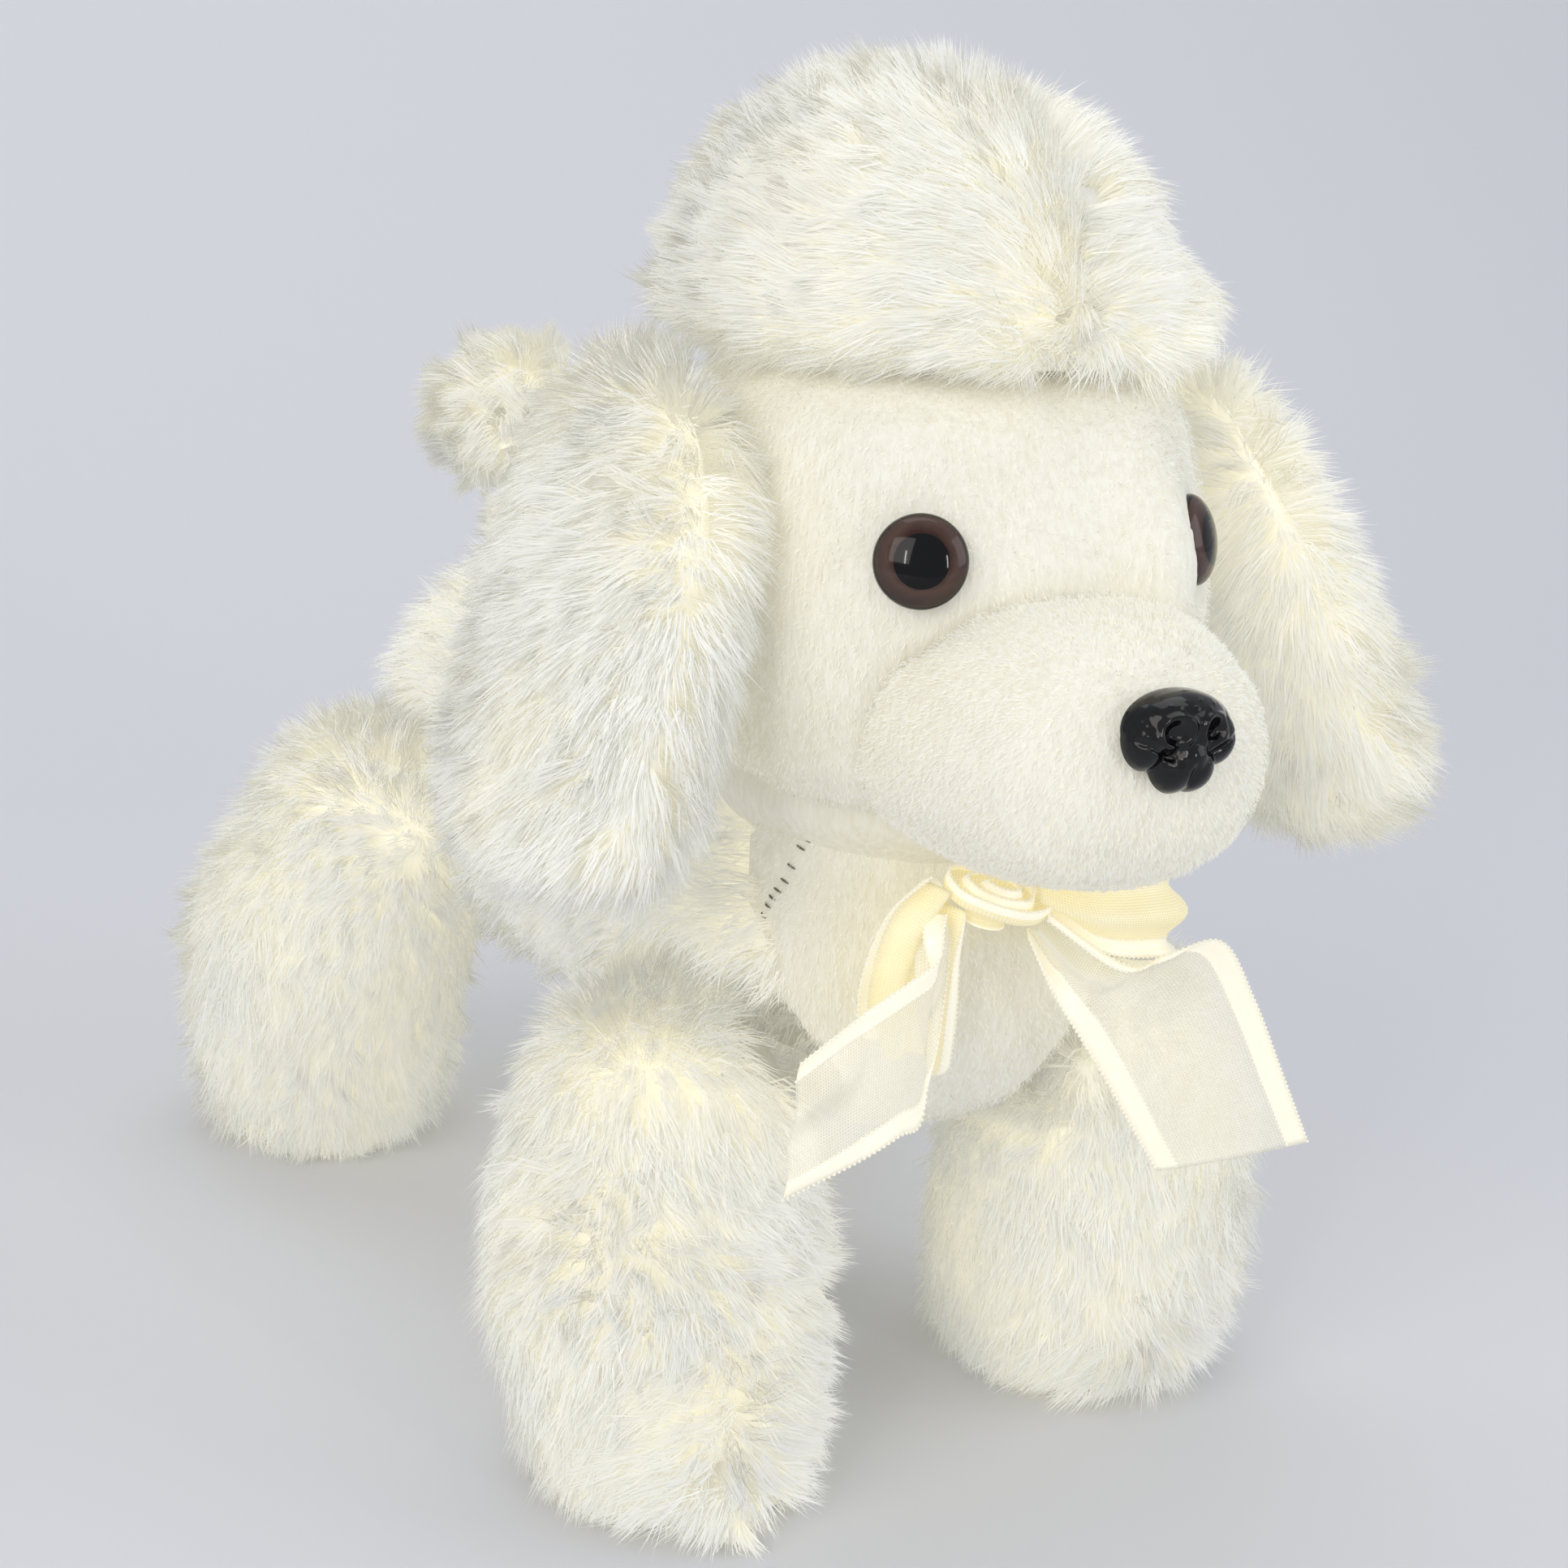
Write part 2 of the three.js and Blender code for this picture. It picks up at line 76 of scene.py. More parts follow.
# a Principled surface; grain gives its cloudiness: size and relief in mm, two tones, and roughness from and to
def newMaterial(name, shader, grain=None):
    material = bpy.data.materials.new(name)
    material.use_nodes = True
    tree = material.node_tree
    surface = tree.nodes["Principled BSDF"]
    for key, value in shader.items():
        surface.inputs[key].default_value = hexColour(value) if isinstance(value, str) else value
    if grain:
        place = addNode(tree, "ShaderNodeTexCoord").outputs["Object"]
        cloud = addNode(tree, "ShaderNodeTexNoise", {"Scale": 1 / (grain["size"] * mm), "Detail": 3.0},
                        {"Vector": place})
        tone = addNode(tree, "ShaderNodeValToRGB", {}, {"Fac": cloud.outputs[0]})
        for element, colour in zip(tone.color_ramp.elements, grain["tones"]):
            element.color = hexColour(colour)
        rough = addNode(tree, "ShaderNodeMapRange", {"To Min": grain["rough"][0], "To Max": grain["rough"][1]},
                        {"Value": cloud.outputs[0]})
        bump = addNode(tree, "ShaderNodeBump", {"Strength": 0.5, "Distance": grain["relief"] * mm},
                       {"Height": cloud.outputs[0]})
        tree.links.new(tone.outputs[0], surface.inputs["Base Color"])
        tree.links.new(rough.outputs[0], surface.inputs["Roughness"])
        tree.links.new(bump.outputs[0], surface.inputs["Normal"])
    return material, tree, surface


def deselectAll():
    if bpy.context.mode != "OBJECT":
        bpy.ops.object.mode_set(mode="OBJECT")
    bpy.ops.object.select_all(action="DESELECT")


def pick(piece):
    deselectAll()
    piece.select_set(True)
    bpy.context.view_layer.objects.active = piece


def applyModifier(piece, kind, **settings):
    pick(piece)
    modifier = piece.modifiers.new(kind.title(), kind)
    for key, value in settings.items():
        setattr(modifier, key, value)
    bpy.ops.object.modifier_apply(modifier=modifier.name)


def joinAll(parts, name):
    deselectAll()
    for part in parts:
        part.select_set(True)
    bpy.context.view_layer.objects.active = parts[0]
    if len(parts) > 1:
        bpy.ops.object.join()
    piece = bpy.context.object
    piece.name = name
    return piece


def addObject(name, mesh):
    piece = bpy.data.objects.new(name, mesh)
    bpy.context.scene.collection.objects.link(piece)
    return piece


def shadeSmooth(piece):
    pick(piece)
    bpy.ops.object.shade_smooth()


def readPoints(piece, what):  # "co" for the places of the vertices, "normal" for their normals
    out = np.empty(len(piece.data.vertices) * 3, np.float32)
    piece.data.vertices.foreach_get(what, out)
    return out.reshape(-1, 3).astype(float)


def pointsOf(piece):
    return readPoints(piece, "co")


def normalsOf(piece):
    return readPoints(piece, "normal")


def setPoints(piece, points):
    piece.data.vertices.foreach_set("co", np.asarray(points, np.float32).ravel())
    piece.data.update()


def unit(rows):  # each row made 1 long
    return rows / np.maximum(np.linalg.norm(rows, axis=-1, keepdims=True), 1e-9)


def blendIn(values, low, high):  # 0 below low, 1 above high, smooth between
    t = np.clip((values - low) / (high - low), 0, 1)
    return t * t * (3 - 2 * t)


# repeatable noise, the same on every run

def lattice(cell, salt):  # a hash from 0 to 1 for each whole-number place, with large primes that keep rows apart
    n = cell[..., 0] * 73856093 ^ cell[..., 1] * 19349663 ^ cell[..., 2] * 83492791 ^ salt * 2654435761
    n = (n ^ (n >> 13)) * 1274126177 & 0x7fffffff
    n = (n ^ (n >> 15)) * 668265263 & 0x7fffffff
    return ((n ^ (n >> 12)) & 0xffff) / 65535


def noise(points, size, salt=0):  # soft value noise from -1 to 1, features about size across
    place = points / size
    base = np.floor(place).astype(np.int64)
    f = place - base
    f = f * f * (3 - 2 * f)
    total = np.zeros(len(points))
    for corner in itertools.product((0, 1), repeat=3):
        weight = np.prod(np.where(corner, f, 1 - f), axis=1)
        total += weight * lattice(base + np.array(corner), salt)
    return total * 2 - 1


def noiseVector(points, size, salt=0):
    return np.stack([noise(points, size, salt + k) for k in range(3)], 1)


def clumpsOf(points, size, salt):  # which tuft each root belongs to
    base = np.floor(points / size).astype(np.int64)
    nearest = np.full(len(points), np.inf)
    key = np.zeros(len(points), np.int64)
    for step in itertools.product((-1, 0, 1), repeat=3):
        cell = base + np.array(step)
        jitter = np.stack([lattice(cell, salt + k) for k in range(3)], 1)
        gapTo = (((cell + jitter) * size - points) ** 2).sum(1)
        closer = gapTo < nearest
        nearest[closer] = gapTo[closer]
        key[closer] = (cell[closer] * np.array([1, 4096, 16777216])).sum(1)
    return np.unique(key, return_inverse=True)[1]


# camera first

camera = {  # degrees round the dog and above it, and degrees of view
    "turn": -26.1, "lift": 15.6, "distance": 644 * mm, "target": (3 * mm, -4 * mm, 112 * mm),
    "angle": 28, "roll": 2.6, "sensor": 36,
}


def makeCamera():
    a, e, r = (math.radians(camera[k]) for k in ("turn", "lift", "roll"))
    back = Vector((math.sin(a) * math.cos(e), -math.cos(a) * math.cos(e), math.sin(e)))
    right = Vector((math.cos(a), math.sin(a), 0))
    up = back.cross(right)
    across = right * math.cos(r) + up * math.sin(r)
    upright = up * math.cos(r) - right * math.sin(r)
    data = bpy.data.cameras.new("camera")
    data.sensor_width = camera["sensor"]
    data.lens = camera["sensor"] / 2 / math.tan(math.radians(camera["angle"] / 2))
    data.clip_start = 0.01
    holder = addObject("camera", data)
    holder.matrix_world = Matrix.Translation(Vector(camera["target"]) + back * camera["distance"]) @ Matrix(
        (across, upright, back)).transposed().to_4x4()
    bpy.context.scene.camera = holder


makeCamera()

# studio: a seamless pale sweep and soft light

studio = {  # lengths in metres
    "floor": "#dbdce1", "world": "#eef0f4", "worldStrength": 0.66, "sweepFront": -1.6, "sweepBack": 1.3,
    "halfWidth": 2.6, "sweepHeight": 2.4, "sweepBend": 0.9, "lampAim": (0, 0, 0.12),
}
lamps = {  # place in metres, aimed at the dog: size, power in watts, colour
    "keyLamp": {"at": (-1.35, -1.0, 0.95), "size": 1.1, "power": 9.5, "colour": "#fffaf2"},
    "fillLamp": {"at": (1.35, -1.0, 0.75), "size": 1.2, "power": 6, "colour": "#f3f6ff"},
    "stripLeft": {"at": (-1.25, -1.35, 0.7), "size": 0.05, "long": 0.5, "power": 2.0, "colour": "#ffffff"},
    "stripRight": {"at": (0.35, -1.9, 0.55), "size": 0.05, "long": 0.5, "power": 2.0, "colour": "#ffffff"},
    "topLamp": {"at": (0.1, 0.35, 1.5), "size": 1.1, "power": 4.5, "colour": "#ffffff"},
}


def makeStudio():
    deselectAll()
    bpy.ops.mesh.primitive_plane_add(size=1, location=(0, 0, 0))
    floor = bpy.context.object
    floor.name = "studio_floor"
    floor.scale = (studio["halfWidth"] * 2, studio["sweepBack"] - studio["sweepFront"], 1)
    floor.location.y = (studio["sweepBack"] + studio["sweepFront"]) / 2
    bpy.ops.object.transform_apply(location=True, rotation=False, scale=True)
    bpy.ops.object.mode_set(mode="EDIT")
    bpy.ops.mesh.select_all(action="DESELECT")
    mesh = bmesh.from_edit_mesh(floor.data)
    for edge in mesh.edges:
        edge.select = all(v.co.y > studio["sweepBack"] - 0.01 for v in edge.verts)
    bmesh.update_edit_mesh(floor.data)
    bpy.ops.mesh.extrude_region_move(TRANSFORM_OT_translate={"value": (0, 0, studio["sweepHeight"])})
    bpy.ops.object.mode_set(mode="OBJECT")
    applyModifier(floor, "BEVEL", width=studio["sweepBend"], segments=16, limit_method="ANGLE")
    bpy.ops.object.shade_smooth()
    paper, _, _ = newMaterial("mattPaper", {  # an uncoated paper sweep, even and without gloss
        "Base Color": studio["floor"], "Roughness": 0.85, "Specular IOR Level": 0.25})
    floor.data.materials.append(paper)
    world = bpy.data.worlds.new("studioAir")
    world.use_nodes = True
    air = world.node_tree.nodes["Background"]
    air.inputs["Color"].default_value = hexColour(studio["world"])
    air.inputs["Strength"].default_value = studio["worldStrength"]
    bpy.context.scene.world = world
    for name, lamp in lamps.items():
        data = bpy.data.lights.new(name, "AREA")
        data.shape = "RECTANGLE"
        data.size, data.size_y = lamp["size"], lamp.get("long", lamp["size"])
        data.energy = lamp["power"]
        data.color = hexColour(lamp["colour"])[:3]
        holder = addObject(name, data)
        holder.location = lamp["at"]
        aim = Vector(studio["lampAim"]) - Vector(lamp["at"])
        holder.rotation_euler = aim.to_track_quat("-Z", "Y").to_euler()
    bpy.context.scene.view_settings.view_transform = "Standard"


makeStudio()
print("stage: camera and studio made")

# skins: the backing cloth under the pile

def makeSkin(name, nodes, inset, voxel, smooth):  # one smooth closed form round these nodes, inset from pile tips
    piece = joinAll([addObject(name, frame["nodes"][node].data.copy()) for node in nodes], name)
    piece.data.materials.clear()
    applyModifier(piece, "REMESH", mode="VOXEL", voxel_size=voxel * mm, use_smooth_shade=True)
    applyModifier(piece, "SMOOTH", factor=0.5, iterations=smooth)
    pick(piece)
    bpy.ops.object.mode_set(mode="EDIT")
    bpy.ops.mesh.select_all(action="SELECT")
    bpy.ops.transform.shrink_fatten(value=-inset * mm)
    bpy.ops.object.mode_set(mode="OBJECT")
    return piece


# pile: every fibre bundle is a thin tapered blade rooted in a skin

pileTints = {  # colour with painted shade, darkest at the roots, and emission strength: a painted glow standing in for the light that pale fibres pass on to each other, most where they lie deep
    "rootShade": ("#efecdc", 0.34), "midShade": ("#f1efe3", 0.22), "tipShade": ("#f3f2ea", 0.13),
    "tipGlow": ("#f6f6f1", 0.12),
}


def makePileMaterials():  # drawn acrylic fibre: a soft sheen, and a colour grained by the mix of tints in each tuft, each tint with its own painted glow (emission)
    out = []
    for name, (colour, glow) in pileTints.items():
        material, _, _ = newMaterial("acrylicPile_" + name, {
            "Base Color": colour, "Roughness": 0.6, "Specular IOR Level": 0.25, "Sheen Weight": 0.2,
            "Sheen Roughness": 0.4, "Emission Color": colour, "Emission Strength": glow})
        out.append(material)
    return out


pileMaterials = makePileMaterials()

fibre = {  # ranges of length and width, shares of a fibre's length and lean, spreads in radians, sizes in mm
    "lengths": (0.75, 1.12), "widths": (0.7, 1.2), "gathers": (0.5, 1.0), "leastLean": 0.25, "leanSpread": 0.12,
    "waySpread": 0.16, "kneeAt": 0.55, "kneeLean": 0.62, "tipLean": 0.95, "kneeGather": 0.45, "turn": 1.1,
    "swirlSize": 26, "patchSize": 14, "patchSpread": 0.8, "paleFrom": 0.5, "glowFrom": 0.1, "dullBelow": -0.6,
    "floorGap": 0.2,
}


def flowAt(points, normals, pile):  # the way the pile is combed, along the skin
    flow = np.zeros_like(points)
    for pull, way in pile["pulls"]:
        flow += pull * np.array(way, float)
    for pull, centre, reach in pile["bursts"]:  # away from a point, fading out over its reach, in mm
        away = points - np.array(centre) * mm
        flow += pull * unit(away) * np.exp(-((away / (reach * mm)) ** 2).sum(1, keepdims=True))
    flow += pile["swirl"] * noiseVector(points, fibre["swirlSize"] * mm, 11)
    flow -= normals * (flow * normals).sum(1, keepdims=True)
    return flow


def growPile(name, skin, pile, keep=None):  # fibres rooted at even density where keep allows, gathered in tufts
    random = np.random.default_rng(pile["seed"])
    mesh = skin.data
    mesh.calc_loop_triangles()
    corners = np.empty(len(mesh.loop_triangles) * 3, np.int32)
    mesh.loop_triangles.foreach_get("vertices", corners)
    corners = corners.reshape(-1, 3)
    points, normals = pointsOf(skin), normalsOf(skin)
    a, b, c = (points[corners[:, k]] for k in range(3))
    area = np.linalg.norm(np.cross(b - a, c - a), axis=1) / 2
    if keep is not None:
        area = area * keep((a + b + c) / 3, unit(normals[corners].mean(1)))
    chosen = random.choice(len(area), pile["count"], p=area / area.sum())
    u, v = random.random((2, pile["count"]))
    fold = u + v > 1
    u[fold], v[fold] = 1 - u[fold], 1 - v[fold]
    weights = np.stack([1 - u - v, u, v], 1)[:, :, None]
    roots = (points[corners[chosen]] * weights).sum(1)
    out = unit((normals[corners[chosen]] * weights).sum(1))

    tuft = clumpsOf(roots, pile["tuft"] * mm, 5)
    tufts = tuft.max() + 1
    members = np.bincount(tuft, minlength=tufts)[:, None]
    meanOf = lambda rows: np.stack([np.bincount(tuft, rows[:, k], tufts) for k in range(3)], 1) / members
    tuftRoot, tuftOut = meanOf(roots), unit(meanOf(out))
    flow = flowAt(tuftRoot, tuftOut, pile)
    flow += pile["stray"] * random.normal(0, 1, flow.shape)  # each tuft falls its own way
    flow -= tuftOut * (flow * tuftOut).sum(1, keepdims=True)
    flow = flow / np.maximum(np.linalg.norm(flow, axis=1, keepdims=True), 1)
    tuftLength = pile["length"] * mm * (1 + pile["uneven"] * random.uniform(-1, 1, tufts))
    lean = math.radians(pile["lean"]) * np.clip(np.linalg.norm(flow, axis=1), fibre["leastLean"], 1)
    along = unit(flow)

    length = tuftLength[tuft] * random.uniform(*fibre["lengths"], len(roots))
    angle = (lean[tuft] + random.normal(0, fibre["leanSpread"], len(roots)))[:, None]
    way = along[tuft] + random.normal(0, fibre["waySpread"], roots.shape)
    way = unit(way - out * (way * out).sum(1, keepdims=True))
    middle, tip = (roots + (length * share)[:, None] * (out * np.cos(angle * bend) + way * np.sin(angle * bend))
                   for share, bend in ((fibre["kneeAt"], fibre["kneeLean"]), (1.0, fibre["tipLean"])))
    tuftTip = meanOf(tip)
    gather = pile["gather"] * random.uniform(*fibre["gathers"], (len(roots), 1))
    tip += (tuftTip[tuft] - tip) * gather
    middle += (meanOf(middle)[tuft] - middle) * gather * fibre["kneeGather"]

    run = unit(tip - roots)
    side = unit(np.cross(run, out))
    turn = random.uniform(-fibre["turn"], fibre["turn"], (len(roots), 1))
    side = side * np.cos(turn) + np.cross(run, side) * np.sin(turn)
    half = side * (pile["width"] * mm / 2) * random.uniform(*fibre["widths"], (len(roots), 1))
    verts = np.stack([roots, middle - half, middle + half, tip], 1).reshape(-1, 3)
    verts[:, 2] = np.maximum(verts[:, 2], fibre["floorGap"] * mm)  # pressed flat against what the paws stand on
    count = pile["count"]
    start = np.arange(count, dtype=np.int32)[:, None] * 4
    faces = np.concatenate([start + np.array([[0, 2, 1]]), start + np.array([[1, 2, 3]])], 1).reshape(-1, 3)

    blade = bpy.data.meshes.new(name)
    blade.vertices.add(len(verts))
    blade.vertices.foreach_set("co", verts.astype(np.float32).ravel())
    blade.loops.add(faces.size)
    blade.loops.foreach_set("vertex_index", faces.astype(np.int32).ravel())
    blade.polygons.add(len(faces))
    blade.polygons.foreach_set("loop_start", np.arange(0, faces.size, 3, dtype=np.int32))
    blade.polygons.foreach_set("use_smooth", np.ones(len(faces), bool))
    # tints spread in noise patches: painted shade on the root triangles, painted highlight on the palest tips;
    # shadeShift moves a piece towards the darker tints, painted shade on the left ear and the topknot's left lobe, on
    # the side away from the key lamp
    patch = noise(roots, fibre["patchSize"] * mm, 31) + fibre["patchSpread"] * random.uniform(-1, 1, count)
    patch -= pile["shadeShift"]
    rootShade, midShade, tipShade, tipGlow = range(len(pileTints))
    rootTint = np.where(patch > fibre["paleFrom"], midShade, rootShade)
    tipTint = np.where(patch > fibre["glowFrom"], tipGlow, np.where(patch < fibre["dullBelow"], midShade, tipShade))
    tint = np.stack([rootTint, tipTint], 1)  # a blade's two triangles
    blade.polygons.foreach_set("material_index", tint.astype(np.int32).ravel())
    for material in pileMaterials:
        blade.materials.append(material)
    blade.update()
    soft = np.repeat(out, 4, axis=0)  # the pile is shaded as one soft coat, each fibre turned a little from it
    lift = np.repeat(np.cross(side, run), 4, axis=0)
    lift *= np.sign((lift * soft).sum(1, keepdims=True))
    blade.normals_split_custom_set_from_vertices(unit(soft * (1 - pile["glint"]) + lift * pile["glint"]))
    return addObject(name, blade)


backing, _, _ = newMaterial(  # warp-knitted polyester, matt, with a painted glow (emission) standing in for light passed on through the pile around it
    "knittedBacking", {"Emission Color": "#f3f0e0", "Emission Strength": 0.32},
    {"size": 1.5, "tones": ("#efebd8", "#f5f3e6"), "rough": (0.9, 1.0), "relief": 0.3})


def treeOf(piece):  # the piece's surface, ready to be searched
    mesh = bmesh.new()
    mesh.from_mesh(piece.data)
    tree = BVHTree.FromBMesh(mesh)
    mesh.free()
    return tree


def isInside(tree, point):  # an odd number of walls on the way up and on the way out
    votes = 0
    for way in (Vector((0.03, 0.02, 1)), Vector((0.9, 0.4, 0.1)), Vector((-0.3, -1, 0.2))):
        start, walls = Vector(point), 0
        while walls < 20:
            hit = tree.ray_cast(start, way)[0]
            if hit is None:
                break
            walls += 1
            start = hit + way * 1e-5  # just past the wall
        votes += walls % 2
    return votes >= 2  # two of three ways agree


def clearOf(covers, depth=3):  # keeps pile off what lies deeper than this inside these other skins, in mm
    trees = [treeOf(cover) for cover in covers]

    def keep(centres, normals):
        out = np.ones(len(centres))
        for k, centre in enumerate(centres + normals * depth * mm):
            if any(isInside(tree, centre) for tree in trees):
                out[k] = 0
        return out
    return keep


def allOf(*masks):  # pile only where every mask lets it grow
    return lambda centres, normals: np.prod([mask(centres, normals) for mask in masks], axis=0)


# long-pile pieces: what each is made from and how its pile lies

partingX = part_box("topknot_left")[0].x / mm - 0.3


def toeOf(leg):  # the gathered toe of a leg, in mm
    low, high = (Vector(corner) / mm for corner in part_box(leg))
    return ((low.x + high.x) / 2, low.y + 3, 9)


longPile = {  # mm and degrees; real hairs are 0.05 mm wide, so each blade stands for several that they may show
    "length": 11.5, "lean": 60, "tuft": 2.6, "gather": 0.28, "stray": 0.26, "swirl": 0.7, "width": 0.3, "glint": 0.2,
    "uneven": 0.25, "shadeShift": 0, "pulls": [], "bursts": [],
}
legPile = {"tuft": 2.4, "gather": 0.24, "stray": 0.24, "pulls": [(0.9, (0, 0, -1))]}
toeBurst = (1.6, 24)  # how strongly the pile fans out round a toe, and how far, in mm
longPieces = {  # what differs from longPile, with each piece's number of fibres; pulls are strength and way,
    # bursts are strength, centre and reach
    "front_leg_right": {"count": 88000, "seed": 11},
    "front_leg_left": {"count": 76000, "seed": 12},
    "rear_leg_right": {"count": 76000, "seed": 13},
    "rear_leg_left": {"count": 62000, "seed": 14},
    "ear_right": {"count": 90000, "seed": 21, "length": 12.5, "lean": 48,
                  "pulls": [(0.55, (0, 0, -1)), (0.25, (-1, 0, 0))], "bursts": [(0.8, (-66, -110, 190), 60)]},
    "ear_left": {"count": 84000, "seed": 22, "length": 12.5, "lean": 48, "shadeShift": 0.3,
                 "pulls": [(0.55, (0, 0, -1)), (0.35, (1, 0, 0))], "bursts": [(0.8, (58, -110, 190), 60)]},
    "topknot_right": {"count": 92000, "seed": 31, "length": 12, "lean": 52, "tuft": 2.8, "gather": 0.3, "swirl": 0.6,
                      "pulls": [(0.35, (-1, 0.3, -0.3))], "bursts": [(1.3, (8, -112, 214), 60)]},
    "topknot_left": {"count": 72000, "seed": 32, "length": 11, "lean": 62, "tuft": 2.4, "gather": 0.24, "shadeShift": 0.5,
                     "stray": 0.16, "swirl": 0.4, "pulls": [(0.8, (1, 0.1, -0.5))],
                     "bursts": [(0.8, (8, -112, 214), 50)]},
    "tail_pompom": {"count": 36000, "seed": 41, "length": 12, "lean": 40, "tuft": 3.0, "gather": 0.4, "stray": 0.45,
                    "swirl": 0.8, "width": 0.28, "pulls": [(0.3, (0, 0, -1))]},
    "tail_stalk": {"count": 7000, "seed": 42, "length": 8, "lean": 50, "tuft": 2.4, "swirl": 0.6, "width": 0.28,
                   "pulls": [(0.6, (0, 0.6, 0.8))]},
    "body_coat": {"count": 86000, "seed": 51, "width": 0.34, "pulls": [(0.5, (0, 0.7, -0.6))]},
}
bodyOfNode = {node: body for body, nodes in frame["record"]["behaviour"]["bodies"].items() for node in nodes}


def pinch(piece, centre, reach, depth):  # a dimple or pucker drawn in along the surface's own normals, in mm
    points, normals = pointsOf(piece), normalsOf(piece)
    near = np.exp(-(((points - np.array(centre) * mm) / (np.array(reach) * mm)) ** 2).sum(1, keepdims=True))
    setPoints(piece, points - normals * near * depth * mm)


def finishLong(name, skin, pile, keep=None):  # pile on a skin, both riding with the node that they replace
    fibres = growPile(name + "_pile", skin, pile, keep)
    for piece in (skin, fibres):
        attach(piece, bodyOfNode[name])
    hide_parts(name)


skinForms = {  # inset of the backing from the pile's tips, voxel in mm and smoothing rounds
    "leg": (7.5, 3, 8), "ear": (8.2, 3, 8), "tail_pompom": (8.5, 2, 8), "tail_stalk": (1.5, 1, 4),
    "coat": (6.5, 3, 8), "topknot": (9, 3, 8),
}
toePinch = ((9, 9, 7), 5)  # reach and depth in mm
coatPinches = [  # centre, reach and depth in mm; a negative depth stands out
    ((-6, 104, 124), (30, 32, 26), -7),  # the rump stands up to the tail
    ((-38, -62, 84), (16, 26, 20), -6), ((38, -62, 84), (16, 26, 20), -6),  # the shoulders fill the tops of the legs
]
topknotPinches = [
    ((partingX, -62, 235), (5, 200, 200), 6),
    ((42, -55, 248), (22, 70, 24), 6.5), ((-44, -60, 246), (14, 60, 18), 3),  # both sides lie flatter than the CAD's
]
hem = {"low": 213, "high": 232, "out": 3.8, "pileAbove": 206}  # the topknot's edge, in mm
coatMask = {  # where the coat's long pile gives way to the chest panel and under the head, in mm
    "neckTop": 119, "neckBack": -24, "neckSide": 27, "chestSide": 30, "chestFront": -63, "bellyTop": 67,
    "bellyBack": 60,
}


def lowNeck(centres, normals):
    x, y, z = centres.T / mm
    return (z < coatMask["neckTop"]) | (y > coatMask["neckBack"]) | (np.abs(x) > coatMask["neckSide"])


def offChest(centres, normals):
    x, y, z = centres.T / mm
    panel = (y < coatMask["chestFront"]) | (z < coatMask["bellyTop"])
    return ~((np.abs(x) < coatMask["chestSide"]) & panel & (y < coatMask["bellyBack"]))


def halfOf(side):  # the topknot's right or left half, above its hem
    return lambda centres, normals: ((centres[:, 0] / mm - partingX) * side > 0) & (
        centres[:, 2] > hem["pileAbove"] * mm)


def makeLongSkins():
    skins = {}
    for leg in ("front_leg_right", "front_leg_left", "rear_leg_right", "rear_leg_left"):
        skins[leg] = makeSkin(leg + "_skin", [leg, leg + "_stuffing"], *skinForms["leg"])
        pinch(skins[leg], toeOf(leg), *toePinch)
    for ear in ("ear_right", "ear_left"):
        skins[ear] = makeSkin(ear + "_skin", [ear], *skinForms["ear"])
    skins["tail_pompom"] = makeSkin("tail_pompom_skin", ["tail_pompom", "tail_pompom_stuffing"],
                                    *skinForms["tail_pompom"])
    skins["tail_stalk"] = makeSkin("tail_stalk_skin", ["tail_stalk"], *skinForms["tail_stalk"])
    skins["body_coat"] = makeSkin("coat_skin", ["body_coat", "chest_panel", "body_stuffing"], *skinForms["coat"])
    whole = makeSkin("topknot_skin", ["topknot_right", "topknot_left", "topknot_stuffing"], *skinForms["topknot"])
    for move in topknotPinches:
        pinch(whole, *move)
    points, normals = pointsOf(whole), normalsOf(whole)
    low = (1 - blendIn(points[:, 2], hem["low"] * mm, hem["high"] * mm))[:, None]
    outwards = normals * np.array([1, 1, 0.3])  # more sideways than up
    setPoints(whole, points + outwards * low * hem["out"] * mm)  # back out to the forehead seam
    for move in coatPinches:
        pinch(skins["body_coat"], *move)
    skins["topknot_right"] = skins["topknot_left"] = whole
    for skin in dict.fromkeys(skins.values()):
        skin.data.materials.append(backing)
        shadeSmooth(skin)
    return skins


def makeLongPieces(skins):
    trunk, whole = skins["body_coat"], skins["topknot_right"]
    for name, own in longPieces.items():
        pile = {**longPile, **own}
        if "_leg_" in name:
            pile.update(legPile, bursts=[(toeBurst[0], toeOf(name), toeBurst[1])])
            finishLong(name, skins[name], pile, clearOf([trunk]))
        elif name.startswith("topknot"):
            fibres = growPile(name + "_pile", whole, pile, halfOf(-1 if name.endswith("right") else 1))
            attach(fibres, "head")
        elif name == "body_coat":
            legs = [skin for leg, skin in skins.items() if "leg" in leg]
            finishLong(name, trunk, pile, allOf(lowNeck, offChest, clearOf(legs)))
        else:
            finishLong(name, skins[name], pile)
        print("stage: pile grown on", name)
    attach(whole, "head")
    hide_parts("topknot_right", "topknot_left")
    for skin in dict.fromkeys(skins.values()):
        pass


skins = makeLongSkins()
makeLongPieces(skins)

# short-pile pieces: velour face, muzzle and chest

velourLook = {  # sizes in mm; the knit's loops are really 0.5 mm, drawn coarser so that they show
    "loop": 1.111, "ribStretch": 0.22, "wander": 22.22, "wanderShare": 0.6, "relief": 0.5,
    "shade": "#e6e2d0", "light": "#f2f0e5", "glow": ("#f6f3e6", 0.08),
}


